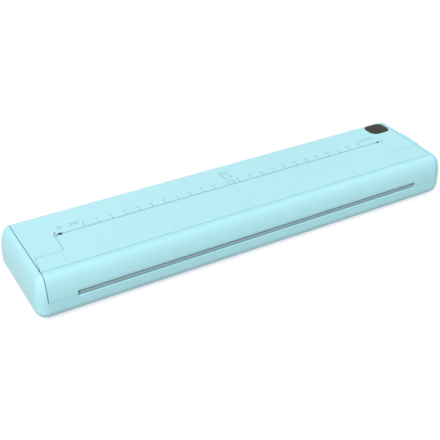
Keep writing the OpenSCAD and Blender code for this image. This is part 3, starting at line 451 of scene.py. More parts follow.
# colour, roughness, stretch of the streaks
groundSteel = brushedMetal("groundSteel", srgb(196, 198, 202), 0.24, (1, 8, 8))
zincSheet = brushedMetal("zincSheet", srgb(178, 182, 186), 0.36, (1, 1, 6))
screwSteel = brushedMetal("screwSteel", srgb(170, 172, 176), 0.32, (6, 6, 1), scale=700.0)
heatsinkMetal = brushedMetal("heatsinkMetal", srgb(206, 208, 211), 0.33, (0.2, 14, 14), scale=240.0)
pinionBrass = brushedMetal("pinionBrass", srgb(212, 178, 98), 0.28, (8, 1, 1))
motorMetal = brushedMetal("motorMetal", srgb(158, 160, 165), 0.34, (8, 1, 1))
print("materials made")


# ---- the form of the case, inside the box of the frame's shells

caseForm = {
    "halfLength": 135.5,
    "halfDepth": 30.8,
    "bottom": 1.0,
    "top": 27.5,
    "seam": 12.6,
    "wall": 1.8,
    "edgeRun": 5.4,
    "bottomCorner": 6.5,
    "planCorner": 6.6,
    "arcSteps": 20,
    "edge": 0.18,           # radius on the moulded edges
    "rearEdge": 0.14,       # less on the rear shell, whose arms end in thin tips
    "sharp": 48,            # edges over this angle get the radius
    "columns": [-60, 0, 60],        # places of mesh lines between the corners
}
cornerX = caseForm["halfLength"] - caseForm["planCorner"]
cornerY = caseForm["halfDepth"] - caseForm["planCorner"]
edgeRise = caseForm["top"] - caseForm["seam"]


def lowerLevels(wall, steps):
    # inset and height up the round lower edge, outside or as far in as the wall
    r, bottom = caseForm["bottomCorner"], caseForm["bottom"]
    return [(r - (r - wall) * c, bottom + r - (r - wall) * s) for c, s in arc(90, 0, steps)]


def upperLevels(wall, start, steps):
    # the same on the upper ellipse, from an angle up to the top
    run, seam = caseForm["edgeRun"], caseForm["seam"]
    return [(run - (run - wall) * c, seam + (edgeRise - wall) * s) for c, s in arc(start, 90, steps)]


def upperAngle(z):
    # angle on the upper ellipse at a height
    return 90 - acos(max(-1, min(1, (z - caseForm["seam"]) / edgeRise))) * 180 / pi


def sideReach(x, inset):
    # distance from the long middle line to the side at a place along the case
    past = max(0.0, abs(x) - cornerX)
    r = caseForm["planCorner"] - inset
    return cornerY + sqrt(max(0.0, r * r - past * past))


def caseRing(inset, level, cornerSteps):
    # one level of the case, walked round from the middle of the front
    r = caseForm["planCorner"] - inset
    points = []
    for cx, cy, start in ((cornerX, -cornerY, -90), (cornerX, cornerY, 0),
                          (-cornerX, cornerY, 90), (-cornerX, -cornerY, 180)):
        points += [(cx + r * c, cy + r * s, level) for c, s in arc(start, start + 90, cornerSteps)]
    return points


def innerBody(name, grow):
    # the space inside the walls, a little larger, used to keep only a shell's inner features
    wall = caseForm["wall"] - grow
    bm = bmesh.new()
    tubeFaces(bm, [[addPoint(bm, p) for p in caseRing(inset, z, 5)]
                   for inset, z in lowerLevels(wall, 10) + upperLevels(wall, 0, 10)])
    return newMesh(name, bm)


def innerFeatures(node, name):
    # ribs, bosses, ears and tabs of a shell, taken from the frame's own solid
    piece = newMesh(name, copyOfNode(node))
    boolean(piece, innerBody("space", 0.25), "INTERSECT")
    return piece


def weldedNode(node):
    bm = bmesh.new()
    bm.from_mesh(nodes[node].data)
    bmesh.ops.remove_doubles(bm, verts=bm.verts, dist=0.000002)
    return bm


def copyOfNode(node):
    # the frame's own solid, with its flat faces whole again
    bm = weldedNode(node)
    bmesh.ops.dissolve_limit(bm, angle_limit=radians(0.5), verts=bm.verts, edges=bm.edges)
    return bm


def thicken(bm, inner):
    # closes a skin into a solid wall: inner holds the inside place of every outside corner
    outside = list(bm.faces)
    rims = [e for e in bm.edges if e.is_boundary]
    twin = {v: addPoint(bm, inner[v]) for v in list(bm.verts)}
    for face in outside:
        bm.faces.new([twin[v] for v in reversed(face.verts)])
    for edge in rims:
        loop = [l for l in edge.link_faces[0].loops if l.edge == edge][0]
        a, b = loop.vert, loop.link_loop_next.vert
        bm.faces.new((b, a, twin[a], twin[b]))


class Skin:
    # collects the outside corners of a shell together with their inside places
    def __init__(self):
        self.bm = bmesh.new()
        self.inner = {}

    def corner(self, outside, inside):
        v = addPoint(self.bm, outside)
        self.inner[v] = inside
        return v

    def row(self, outside, inside):
        return [self.corner(p, q) for p, q in zip(outside, inside)]

    def solid(self, name):
        # turns all faces outwards, adds the wall and makes the object
        middle = Vector((0, 0, caseForm["seam"] * mm))
        self.bm.normal_update()
        self.bm.faces.ensure_lookup_table()
        first = self.bm.faces[0]
        if first.normal.dot(first.calc_center_median() - middle) < 0:
            bmesh.ops.reverse_faces(self.bm, faces=self.bm.faces)
        loose = [v for v in self.bm.verts if not v.link_faces]
        bmesh.ops.delete(self.bm, geom=loose, context="VERTS")
        thicken(self.bm, self.inner)
        return solidMesh(name, self.bm)


def caseTop(x, y):
    # height of the closed case over a place, from its distance to the outline
    pastX, pastY = abs(x) - cornerX, abs(y) - cornerY
    if pastX > 0 and pastY > 0:
        inset = caseForm["planCorner"] - sqrt(pastX * pastX + pastY * pastY)
    else:
        inset = min(caseForm["halfLength"] - abs(x), caseForm["halfDepth"] - abs(y))
    run = caseForm["edgeRun"]
    if inset >= run:
        return caseForm["top"]
    return caseForm["seam"] + edgeRise * sin(acos((run - max(0, inset)) / run))


def upperPoint(x, a, side, wall=0.0):
    # a place on the upper part of the case, at x along it and angle a up its edge ellipse
    run = caseForm["edgeRun"] - wall
    inset = min(caseForm["edgeRun"] - run * cos(radians(a)), caseForm["halfLength"] - abs(x))
    angle = acos(max(-1, min(1, (caseForm["edgeRun"] - inset) / run)))
    return (x, side * sideReach(x, inset), caseForm["seam"] + (edgeRise - wall) * sin(angle))


def setMaterial(obj, material):
    obj.data.materials.clear()
    obj.data.materials.append(material)


def dress(obj, body, material, replaced=None):
    # every new piece gets its material and its body here, and the node it replaces is hidden
    setMaterial(obj, material)
    if replaced:
        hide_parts(replaced)
    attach(obj, body)
    return obj


def finishShell(obj, node, body, edge=caseForm["edge"]):
    bevelEdges(obj, edge, segments=2, angle=caseForm["sharp"])
    boolean(obj, innerFeatures(node, obj.name + "Inside"), "UNION")
    smoothShade(obj)
    return dress(obj, body, shellPlastic, node)


# ---- base shell

baseShell = {
    "rim": 12.5,            # its upper edge, just under the seam
    "slotHalf": 113.3,
    "slotBottom": 11.9,
    "slotReach": 2.4,       # how far back the slot is cut
    "slotTop": 14,          # any level above the rim
    "lipRadius": 0.4,       # round the lower edge of the slot
    "wellRadius": 2.6,
    "wellTop": 4,
    "footRadius": 5.1,
    "footDepth": 0.6,
    "under": 0.5,           # where the cutters of wells and recesses start, below the underside
    "usbMargin": 0.3,
    "usbCut": (28, 32),
    "screws": [(-108.5, 21.5), (36.6, 21.5), (108.5, 21.5), (-125.5, -21), (-125.5, 21),
               (125.5, -21), (125.5, 9)],
    "feet": [(-96, -16), (96, -16), (-96, 16), (96, 16)],
}


def makeBaseShell():
    plan = baseShell
    wall, steps = caseForm["wall"], caseForm["arcSteps"]
    skin = Skin()
    outside = lowerLevels(0, steps) + [(0, plan["rim"])]
    inside = lowerLevels(wall, steps) + [(wall, plan["rim"])]
    rows = [skin.row(caseRing(*out, 10), caseRing(*into, 10)) for out, into in zip(outside, inside)]
    gridFaces(skin.bm, rows, closed=True)
    skin.bm.faces.new(list(reversed(rows[0])))
    shell = skin.solid("baseShell")
    cutSlot(shell)
    well = [(plan["wellRadius"], z) for z in (plan["under"], plan["wellTop"])]
    for centre in plan["screws"]:
        boolean(shell, turnedMesh("well", well, centre))
    footTop = caseForm["bottom"] + plan["footDepth"]
    recess = [(plan["footRadius"], z) for z in (plan["under"], footTop)]
    for centre in plan["feet"]:
        boolean(shell, turnedMesh("recess", recess, centre, sides=64))
    cutUsbWindow(shell)
    return shell


def cutSlot(shell):
    # the lower half of the paper slot, with a rounded lip
    plan = baseShell
    front, lip = -caseForm["halfDepth"], plan["lipRadius"]
    low, top = plan["slotBottom"], plan["slotTop"]
    outline = [(front + plan["slotReach"], top), (front + plan["slotReach"], low)]
    outline += [(front + lip + lip * c, low - lip + lip * s) for c, s in arc(90, 180, 6)]
    outline += [(front - 1, low - lip), (front - 1, top)]
    boolean(shell, prismAlongX("slotCut", outline, -plan["slotHalf"], plan["slotHalf"]))


def cutUsbWindow(shell):
    plan = baseShell
    low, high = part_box("usb_socket")
    margin = plan["usbMargin"]
    x0, x1 = low.x / mm - margin, high.x / mm + margin
    z0, z1 = low.z / mm - margin, high.z / mm + margin
    # drawn lying down, then turned up to face the back
    corners = rectangle(x0, x1, -z1, -z0, (z1 - z0) / 2 - 0.05)
    window = prism("usbWindow", roundedOutline(corners, 8), *plan["usbCut"])
    window.data.transform(Matrix.Rotation(radians(-90), 4, "X"))
    boolean(shell, window)


base = makeBaseShell()
print("base shell made", len(base.data.polygons))


slotStripPlan = {
    "half": 112.9,
    "front": -30.35,
    "rear": -29.5,
    "corner": 0.4,
    "thickness": 0.12,
    "guideFront": -29.5,
    "guideRear": -28.4,
    "guideRise": 1.05,
    "guideSunk": 0.02,      # how far the ramp sits in the base's shelf
}


def makeSlotStrip():
    # a thin strip on the lip of the paper slot, coloured darker as painted shade for the shadow in the
    # slot
    plan = slotStripPlan
    low = baseShell["slotBottom"]
    corners = rectangle(-plan["half"], plan["half"], plan["front"], plan["rear"], plan["corner"])
    strip = prism("slotStrip", roundedOutline(corners, 3), low, low + plan["thickness"])
    smoothShade(strip)
    return strip


def makeSlotGuide():
    # the rounded ramp behind the film, which lifts the sheet's edge towards the roller
    plan = slotStripPlan
    low = baseShell["slotBottom"]
    front, rear = plan["guideFront"], plan["guideRear"]
    foot, rise = low - plan["guideSunk"], plan["guideRise"]
    outline = [(rear, foot), (rear, low + rise)]
    outline += [(rear - (rear - front) * s, low + rise * c) for c, s in arc(12, 88, 8)]
    outline += [(front, foot)]
    guide = prismAlongX("slotGuide", outline, -plan["half"], plan["half"])
    smoothShade(guide)
    return guide


dress(makeSlotStrip(), "base", slotShadeFilm)
dress(makeSlotGuide(), "base", guideLightAndShade)


# ---- rear shell and top cover

coverPlan = {
    "rear": 4.35,
    "notchY": -10.2,
    "notchX": 111.5,
    "creaseY": -23.2,
    "creaseWidth": 0.72,
    "creaseDepth": 0.9,
    "creaseDraft": 0.02,    # how far its walls lean in
    "endX": 129.15,
    "taperX": 127.7,        # the wing's end at its rear corner
    "rim": 12.7,
    "slotTop": 14.5,
    "slotHalf": 113.3,
    "lipDepth": 0.7,        # how far the lip over the slot turns in, and over what height
    "lipHeight": 2.2,
    "lipTurn": [0.25, 0.45, 0.62, 0.77, 0.89, 0.97, 1.0],
    "lipEnd": 0.5,          # over this length the lip runs out at the slot's ends
    "wingRadius": 2.6,      # corners of the flat part, from the wing to the slit
    "notchRadius": 1.8,
    "slitRadius": 0.4,
}
rearPlan = {
    "slitRear": 5.35,
    "tongueX": 111.8,
    "tongueY": -9.86,
    "endX": 129.1,
    "armY": -19.2,
    "rim": 12.7,
    "gap": 0.3,             # between the arms and the cover's wings
    "neck": (-1.4, 0.2, -0.35),     # end of the arm's straight side: along y, then two steps in x
    "flatEnd": 23.3,        # the flat part ends a little before the first row of the edge
    "radii": (0.9, 1.5, 0.3),
}


def addFlatTop(skin, row, corners, steps, edgeY):
    # the flat part of a shell: from a row of its edge round the given corners and their mirror image
    top, wall = caseForm["top"], caseForm["wall"]
    mirrored = [(-x, y, r) for x, y, r in reversed(corners)]
    outline = [p for p in roundedOutline(corners + mirrored, steps) if p[1] != edgeY]
    skin.bm.faces.new(row + [skin.corner((x, y, top), (x, y, top - wall)) for x, y in outline])


def makeTopCover():
    plan = coverPlan
    top, wall = caseForm["top"], caseForm["wall"]
    skin = Skin()
    ends = spread(plan["endX"], cornerX, 3)
    slotEnd = plan["slotHalf"]
    lipEnds = [slotEnd + plan["lipEnd"], slotEnd, slotEnd - plan["lipEnd"]]
    xs = [-x for x in ends + lipEnds] + caseForm["columns"] + list(reversed(ends + lipEnds))
    lipLevels = [plan["slotTop"] + plan["lipHeight"] * (1 - t) for t in plan["lipTurn"]]
    angles = spread(90, upperAngle(plan["slotTop"] + plan["lipHeight"]), caseForm["arcSteps"] - 4)
    angles += [upperAngle(z) for z in lipLevels] + [upperAngle(plan["rim"])]
    rows = []
    crease, half, deep = plan["creaseY"], plan["creaseWidth"] / 2, plan["creaseDepth"]
    foot = half - plan["creaseDraft"]
    for dy, drop in ((half, 0), (foot, deep), (-foot, deep), (-half, 0)):
        y = crease + dy
        rows.append([skin.corner((x, y, top - drop), (x, y, top - wall)) for x in xs])

    def lipped(x, a):
        # the outside, drawn in over the slot along a quarter of an ellipse
        px, py, pz = upperPoint(x, a, -1)
        t = max(0, min(1, 1 - (pz - plan["slotTop"]) / plan["lipHeight"]))
        if abs(x) < slotEnd:
            py += plan["lipDepth"] * (1 - sqrt(1 - t * t))
        return (px, py, pz)

    for a in angles:
        rows.append([skin.corner(lipped(x, a), upperPoint(x, a, -1, wall)) for x in xs])
    lastRow = len(rows) - 2

    def isSlot(i, j):
        return i == lastRow and xs[j] >= -slotEnd and xs[j + 1] <= slotEnd

    gridFaces(skin.bm, rows, skip=isSlot)
    # the flat part behind the crease, with the notch for the tongues
    start, notch, inner = crease + half, plan["notchY"], plan["notchX"]
    corners = [(plan["endX"], start, 0), (plan["taperX"], notch, plan["wingRadius"]),
               (inner, notch, plan["notchRadius"]), (inner, plan["rear"], plan["slitRadius"])]
    addFlatTop(skin, rows[0], corners, 5, start)
    return skin.solid("topCover")


def makeRearShell():
    plan = rearPlan
    wall = caseForm["wall"]
    skin = Skin()
    ends = spread(plan["endX"], cornerX, 4)
    xs = [-x for x in ends] + caseForm["columns"] + list(reversed(ends))
    rimAngle = upperAngle(plan["rim"])
    rows = [[skin.corner(upperPoint(x, a, 1), upperPoint(x, a, 1, wall)) for x in xs]
            for a in spread(90, rimAngle, caseForm["arcSteps"] + 2)]
    gridFaces(skin.bm, rows)
    # the arms follow the slant of the cover's wings
    taper, notch = coverPlan["taperX"], coverPlan["notchY"]
    slope = (coverPlan["endX"] - taper) / (notch - coverPlan["creaseY"])
    arm, tongue, inner = plan["armY"], plan["tongueY"], plan["tongueX"]
    back, first, second = plan["neck"]
    far, near, slit = plan["radii"]
    corners = [(plan["endX"], plan["flatEnd"], 0), (plan["endX"], arm, 0),
               (taper + plan["gap"] + slope * (notch - arm), arm, 0),
               (taper + first, notch + back, 0), (taper + second, tongue, far),
               (inner, tongue, near), (inner, plan["slitRear"], slit)]
    addFlatTop(skin, rows[0], corners, 4, plan["flatEnd"])
    return skin.solid("rearShell")


cover = makeTopCover()
rear = makeRearShell()
print("cover and rear shell made", len(cover.data.polygons), len(rear.data.polygons))


# ---- end caps

capPlan = {
    "cut": 129.65,
    "rim": 12.7,
    "short": 0.04,          # the flat strip on top ends this much before the cut
    "window": (-7.3, 10.3, 17.2, 40),     # open at the top, where the button slides in
    "windowRadius": 1.5,
    "windowCut": (120, 140),
}


def makeEndCap(name, side):
    plan = capPlan
    wall, steps = caseForm["wall"], caseForm["arcSteps"] + 4
    cut = plan["cut"] - cornerX
    lastInset = caseForm["halfLength"] - plan["cut"] - plan["short"]
    skin = Skin()

    def row(inset, level):
        r = caseForm["planCorner"] - inset
        sweep = acos(min(1, cut / r)) * 180 / pi
        points = [(cornerX + r * c, -cornerY + r * s, level) for c, s in arc(-sweep, 0, 12)]
        points += [(x, -y, z) for x, y, z in reversed(points)]
        return [(side * x, y, z) for x, y, z in points]

    start = upperAngle(plan["rim"])
    outside = upperLevels(0, start, steps) + [(lastInset, caseForm["top"])]
    inside = upperLevels(wall, start, steps) + [(lastInset, caseForm["top"] - wall)]
    rows = [skin.row(row(*out), row(*into)) for out, into in zip(outside, inside)]
    gridFaces(skin.bm, rows)
    return skin.solid(name)


leftCap = makeEndCap("leftEndCap", -1)
rightCap = makeEndCap("rightEndCap", 1)


def cutReleaseWindow(cap):
    outline = roundedOutline(rectangle(*capPlan["window"], capPlan["windowRadius"]), 6)
    boolean(cap, prismAlongX("releaseWindow", outline, *capPlan["windowCut"]))


cutReleaseWindow(rightCap)
print("end caps made", len(leftCap.data.polygons), len(rightCap.data.polygons))


# ---- power button, with its window in the rear shell

powerPlan = {
    "centre": (121.0, 20.0),
    "size": (14.5, 12.0),
    "corner": 4.5,
    "proud": 0.35,
    "gap": 0.3,
    "edge": 0.6,            # radius round its top edge
    "skirt": 3.2,
    "crown": 0.2,           # how much lower the edge is than the middle
    "straight": 0.4,        # upright wall under the edge
    "shoulder": 0.5,        # from the edge to the first ring of the crown
    "flat": 0.6,            # half width of the flat middle
    "leastCorner": 0.5,
    "windowCut": (18, 30),
}


def squareOutline(centre, size, corner, steps=6):
    x, y = centre
    w, d = size[0] / 2, size[1] / 2
    return roundedOutline(rectangle(x - w, x + w, y - d, y + d, corner), steps)


def cutPowerWindow(shell):
    plan = powerPlan
    size = [s + 2 * plan["gap"] for s in plan["size"]]
    outline = squareOutline(plan["centre"], size, plan["corner"] + plan["gap"], 8)
    boolean(shell, prism("powerWindow", outline, *plan["windowCut"]))


def makePowerButton():
    plan = powerPlan
    bm = bmesh.new()
    rows = []
    edge, crown = plan["edge"], plan["crown"]
    deepest = min(plan["size"]) / 2 - plan["flat"]
    stages = [(0, -plan["skirt"]), (0, -edge - plan["straight"])]
    stages += [(edge * (1 - c), -crown - edge * (1 - s)) for c, s in arc(0, 90, 5)]
    stages += [(inset, -crown * (1 - inset / deepest) ** 2)
               for inset in spread(edge + plan["shoulder"], deepest, 5)]
    for inset, drop in stages:
        size = [s - 2 * inset for s in plan["size"]]
        corner = max(plan["leastCorner"], plan["corner"] - inset)
        outline = squareOutline(plan["centre"], size, corner)
        level = plan["proud"] + drop
        rows.append([addPoint(bm, (x, y, caseTop(x, y) + level)) for x, y in outline])
    tubeFaces(bm, rows)
    return solidMesh("powerButton", bm)


cutPowerWindow(rear)
powerButton = makePowerButton()
smoothShade(powerButton, sharpAngle=40)
dress(powerButton, "power", buttonPlastic, "power_button")
print("power button made")


# ---- release button for the cover, on the right end

releasePlan = {
    "edge": 0.45,
}


def makeReleaseButton():
    plan = releasePlan
    button = newMesh("releaseButton", copyOfNode("release_button"))
    bevelEdges(button, plan["edge"], segments=3, angle=40)
    smoothShade(button, sharpAngle=38)
    return button


releaseButton = makeReleaseButton()
dress(releaseButton, "release", shellPlastic, "release_button")


# ---- ends of the ruler slit

slitEndPlan = {
    "left": (-107.95, 4.95, 2.3, 2.3),      # middle, width and depth
    "right": (109.9, 4.85, 2.1, 2.1),
    "corners": (0.3, 1.04),
    "baseSide": 4.7,        # where the rear shell's part begins, and the cover's part ends
    "coverSide": 4.25,
    "clearance": 0.06,
    "sunk": 0.12,           # how far the dark pieces lie below the top
    "thickness": 0.5,
    "cut": (24, 29),        # levels of the cutters
    "rear": 9,              # any place behind the holes
}


def makeSlitEnds(rearShell, topCover):
    # two small holes at the ends of the slit, each with a very dark piece in two halves, one on each
    # shell; the dark pieces are painted shade for the deep shadow in the holes
    plan = slitEndPlan
    top = caseForm["top"] - plan["sunk"]
    low = top - plan["thickness"]
    halves = (("Rear", "base", plan["baseSide"], plan["rear"]), ("Front", "cover", 0, plan["coverSide"]))
    for side, corner in zip(("left", "right"), plan["corners"]):
        x, y, w, d = plan[side]
        hole = prism("hole", squareOutline((x, y), (w, d), corner, 8), *plan["cut"])
        boolean(rearShell, hole, keep=True)
        boolean(topCover, hole)
        small = [size - 2 * plan["clearance"] for size in (w, d)]
        outline = squareOutline((x, y), small, corner - plan["clearance"], 8)
        for half, body, y0, y1 in halves:
            window = prism("slitShadePiece" + side.capitalize() + half, outline, low, top)
            kept = roundedOutline(rectangle(x - w, x + w, y0, y1))
            boolean(window, prism("kept", kept, *plan["cut"]), "INTERSECT")
            smoothShade(window, sharpAngle=40)
            dress(window, body, slitShadePlastic)


makeSlitEnds(rear, cover)
finishShell(base, "base_shell", "base")
finishShell(rear, "rear_shell", "base", caseForm["rearEdge"])
finishShell(leftCap, "left_end_cap", "base")
finishShell(rightCap, "right_end_cap", "base")
finishShell(cover, "top_cover", "cover")
print("shells finished")


# ---- printing on the rear shell: ticks, plain numbers and small marks

rulerPlan = {
    "firstTick": -93.1,
    "tickStep": 8.247,
    "ticks": 24,
    "tickLength": 1.25,
    "tickWidth": 0.55,
    "figureHeight": 1.7,
    "figureY": 8.1,
    "film": 0.02,           # thickness of the printed ink
    "sunk": 0.005,          # how deep the ink starts in the plastic
    "boldness": 0.018,      # how far the strokes grow, as a share of the height
    "curveSteps": 8,        # with finer steps the tips of the 3 and the 8 fold over
    "weld": 0.0001,         # corners of a figure closer than this become one
    "labels": [("21", -107.8, 9.5), ("210", -100.8, 9.7),
               ("210", 99.4, 10.5), ("216", 105.4, 10.3)],
    "labelHeight": 2.6,
    "slitGap": 0.15,        # between the slit and the ticks
    "sheet": (-1.0, 4.4, 12.2, 19.2),
    "sheetLine": (1.4, 2.4),        # the line in it: from its sides, and down from its top
    "ring": (1.1, 7.7),
    "ringRadius": 2.1,
    "ringSides": 32,
    "line": 0.45,
    "endTicks": [(-110.75, -110.2, 5.5, 7.8), (113.0, 113.5, 4.1, 5.6)],
    "coverTick": [(-110.75, -110.2, 2.9, 4.2)],
}


def inkLoops(bm, loops, ground):
    # every loop of corners at the upper and the lower level of the ink
    levels = (ground - rulerPlan["sunk"], ground + rulerPlan["film"])
    return [[[addPoint(bm, (x, y, level)) for x, y in loop] for level in levels] for loop in loops]


def inkBox(bm, x0, x1, y0, y1, ground=caseForm["top"]):
    # a thin printed patch on a flat surface
    tubeFaces(bm, inkLoops(bm, [roundedOutline(rectangle(x0, x1, y0, y1))], ground)[0])


def inkBand(bm, outer, inner, ground=caseForm["top"]):
    # a printed line, closed on itself, between two loops with the same number of corners
    (outerLow, outerHigh), (innerLow, innerHigh) = inkLoops(bm, (outer, inner), ground)
    gridFaces(bm, [innerLow, outerLow, outerHigh, innerHigh, innerLow], closed=True)


def inkText(bm, text, x, y, height, align="CENTER"):
    plan = rulerPlan
    curve = bpy.data.curves.new("figure", "FONT")
    curve.body = text
    curve.size = height * 1.4 * mm
    curve.align_x = align
    curve.extrude = plan["film"] / 2 * mm
    curve.offset = height * plan["boldness"] * mm
    curve.resolution_u = plan["curveSteps"]
    letter = addObject("figure", curve)
    letter.location = (x * mm, y * mm, (caseForm["top"] + plan["film"] / 2) * mm)
    bpy.context.view_layer.update()
    depsgraph = bpy.context.evaluated_depsgraph_get()
    mesh = bpy.data.meshes.new_from_object(letter.evaluated_get(depsgraph))
    mesh.transform(letter.matrix_world)
    bm.from_mesh(mesh)
    bpy.data.objects.remove(letter)
    bpy.data.curves.remove(curve)
    bpy.data.meshes.remove(mesh)


def makeRulerTicks():
    plan = rulerPlan
    bm = bmesh.new()
    start, half = rearPlan["slitRear"] + plan["slitGap"], plan["tickWidth"] / 2
    for k in range(plan["ticks"]):
        x = plan["firstTick"] + plan["tickStep"] * k
        inkBox(bm, x - half, x + half, start, start + plan["tickLength"])
    return newMesh("rulerTicks", bm)


def makeFigures():
    # a plain number behind every tick, and the paper widths at the ends of the ruler
    plan = rulerPlan
    bm = bmesh.new()
    for k in range(plan["ticks"]):
        x = plan["firstTick"] + plan["tickStep"] * k
        inkText(bm, str(k), x, plan["figureY"], plan["figureHeight"])
    for text, x, y in plan["labels"]:
        inkText(bm, text, x, y, plan["labelHeight"], "LEFT")
    bmesh.ops.remove_doubles(bm, verts=bm.verts, dist=plan["weld"] * mm)
    return newMesh("rulerFigures", bm)


def makeMarks():
    # the outline of a sheet and a ring, behind the middle of the ruler
    plan = rulerPlan
    bm = bmesh.new()
    x0, x1, y0, y1 = plan["sheet"]
    w = plan["line"]
    side, down = plan["sheetLine"]
    inkBand(bm, roundedOutline(rectangle(x0, x1, y0, y1)),
            roundedOutline(rectangle(x0 + w, x1 - w, y0 + w, y1 - w)))
    inkBox(bm, x0 + side, x1 - side, y1 - down, y1 - down + w)
    cx, cy = plan["ring"]
    inkBand(bm, *[[(cx + r * c, cy + r * s) for c, s in circle(plan["ringSides"])]
                  for r in (plan["ringRadius"], plan["ringRadius"] - w)])
    return newMesh("topMarks", bm)


def makeEndTicks(name):
    # the darker lines beside the ends of the slit
    bm = bmesh.new()
    for box in rulerPlan[name]:
        inkBox(bm, *box)
    return newMesh(name, bm)


dress(makeRulerTicks(), "base", tickInk)
dress(makeFigures(), "base", paleInk)
dress(makeMarks(), "base", paleInk)
dress(makeEndTicks("endTicks"), "base", darkInk)
dress(makeEndTicks("coverTick"), "cover", darkInk)
print("ruler printed")


# ---- the pieces inside

nodeLooks = {
    "platen_carrier": innerPlastic,
    "platen_shaft": groundSteel,
    "platen_rubber": rollerRubber,
    "platen_bushes": gearPlastic,
    "platen_gear": gearPlastic,
    "shaft_clips": zincSheet,
    "head_heatsink": heatsinkMetal,
    "head_ceramic": ceramicGlaze,
    "head_driver_board": boardCoat,
    "head_chip_cover": chipPlastic,
    "head_flat_cable": ribbonPlastic,
    "left_side_plate": zincSheet,
    "right_side_plate": zincSheet,
    "gear_axles": groundSteel,
    "idler_gear": gearPlastic,
    "reduction_gear": gearPlastic,
    "motor_pinion": pinionBrass,
    "motor_shaft": groundSteel,
    "motor_can": motorMetal,
    "hinge_pins": groundSteel,
    "paper_guide": innerPlastic,
    "paper_sensor": innerPlastic,
    "battery_tray": innerPlastic,
    "battery_cells": cellSleeve,
    "battery_contacts": groundSteel,
    "main_board": boardCoat,
    "board_components": chipPlastic,
    "usb_socket": zincSheet,
    "button_board": boardCoat,
    "power_switch": chipPlastic,
    "latch_slider": gearPlastic,
}
for name, look in nodeLooks.items():
    setMaterial(nodes[name], look)


headPlan = {
    "glazeWidth": 1.3,
    "glazeRise": 0.05,
    "tracksFront": 0.2,     # bare ceramic at the front edge, and beside the glaze
    "tracksGap": 0.15,
    "tracksRear": 0.9,      # where the tracks end behind the glaze
    "end": 1.2,             # bare ceramic at each end
}


def headStrip():
    # ends and top of the ceramic strip, and the line under the roller's middle
    low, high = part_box("head_ceramic")
    rollerLow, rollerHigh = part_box("platen_rubber")
    middle = (rollerLow.y + rollerHigh.y) / 2 / mm
    left, right = low.x / mm + headPlan["end"], high.x / mm - headPlan["end"]
    return left, right, high.z / mm, middle


def makeHeadGlaze():
    # the raised line of glaze that the roller presses the paper on
    left, right, top, middle = headStrip()
    half, rise = headPlan["glazeWidth"] / 2, headPlan["glazeRise"]
    outline = [(middle - half * c, top + rise * s) for c, s in arc(0, 180, 10)]
    glaze = prismAlongX("headGlaze", outline, left, right)
    smoothShade(glaze)
    return glaze


def makeHeadTracks():
    # the printed conductors on both sides of the glaze
    plan = headPlan
    left, right, top, middle = headStrip()
    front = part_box("head_ceramic")[0].y / mm
    half, gap = plan["glazeWidth"] / 2, plan["tracksGap"]
    bm = bmesh.new()
    for y0, y1 in ((front + plan["tracksFront"], middle - half - gap),
                   (middle + half + gap, middle + half + plan["tracksRear"])):
        inkBox(bm, left, right, y0, y1, top)
    return newMesh("headTracks", bm)


dress(makeHeadGlaze(), "head", glazeBrown)
dress(makeHeadTracks(), "head", trackFilm)
print("print head glazed")


def islandsOf(node):
    # the box of every separate solid in a node, in millimetres, from left to right
    bm = weldedNode(node)
    left = set(bm.verts)
    boxes = []
    while left:
        group = [left.pop()]
        for v in group:
            for e in v.link_edges:
                other = e.other_vert(v)
                if other in left:
                    left.remove(other)
                    group.append(other)
        low = [min(v.co[k] for v in group) / mm for k in range(3)]
        high = [max(v.co[k] for v in group) / mm for k in range(3)]
        boxes.append((low, high))
    bm.free()
    return sorted(boxes)


def middleAcross(low, high, axis):
    # the middle of a box and half its width, seen along an axis
    u, v = acrossOf(axis)
    return ((low[u] + high[u]) / 2, (low[v] + high[v]) / 2), (high[u] - low[u]) / 2


screwPlan = {
    "headThickness": 0.7,   # shares of the head's radius
    "shank": 0.5,
    "crossWidth": 0.28,
    "crossReach": 0.68,
    "tip": (0.4, 0.8),      # length of the point, and its share of the shank's radius
    "headEdge": 0.25,
    "edgeStep": 0.3,        # share of the head's edge at the middle of its slope
    "crossDepth": 0.8,
    "crossStart": 0.3,      # over the head
    "crossTaper": 0.55,
}


def addCross(bm, face, sign, centre, radius, axis):
    # cutter for a cross recess: two crossing wedges
    plan = screwPlan
    width, reach = radius * plan["crossWidth"] / 2, radius * plan["crossReach"]
    levels = ((face + sign * plan["crossStart"], 1.0),
              (face - sign * plan["crossDepth"], plan["crossTaper"]))
    for a, b in ((width, reach), (reach, width)):
        rings = []
        for level, share in levels:
            du, dv = (a * share, b) if a > b else (a, b * share)
            spots = [(-du, -dv), (du, -dv), (du, dv), (-du, dv)]
            rings.append([addPoint(bm, spotAt(axis, level, (centre[0] + p, centre[1] + q)))
                          for p, q in spots])
        tubeFaces(bm, rings)


def makeScrews(name, node, axis, headAt):
    # screws with a rounded head and a cross recess, one in each place where the frame has one
    plan = screwPlan
    sign = 1 if headAt == "high" else -1
    bm, cutter = bmesh.new(), bmesh.new()
    for low, high in islandsOf(node):
        centre, radius = middleAcross(low, high, axis)
        face, end = (high[axis], low[axis]) if sign > 0 else (low[axis], high[axis])
        edge, shank = plan["headEdge"], radius * plan["shank"]
        under, step = face - sign * radius * plan["headThickness"], edge * plan["edgeStep"]
        tip, taper = plan["tip"]
        profile = [(shank * taper, end), (shank, end + sign * tip), (shank, under), (radius, under),
                   (radius, face - sign * edge), (radius - step, face - sign * step),
                   (radius - edge, face)]
        turned(bm, profile, centre, axis)
        addCross(cutter, face, sign, centre, radius, axis)
    screws = solidMesh(name, bm)
    boolean(screws, solidMesh("cross", cutter), selfCrossing=True)
    smoothShade(screws, sharpAngle=35)
    return screws


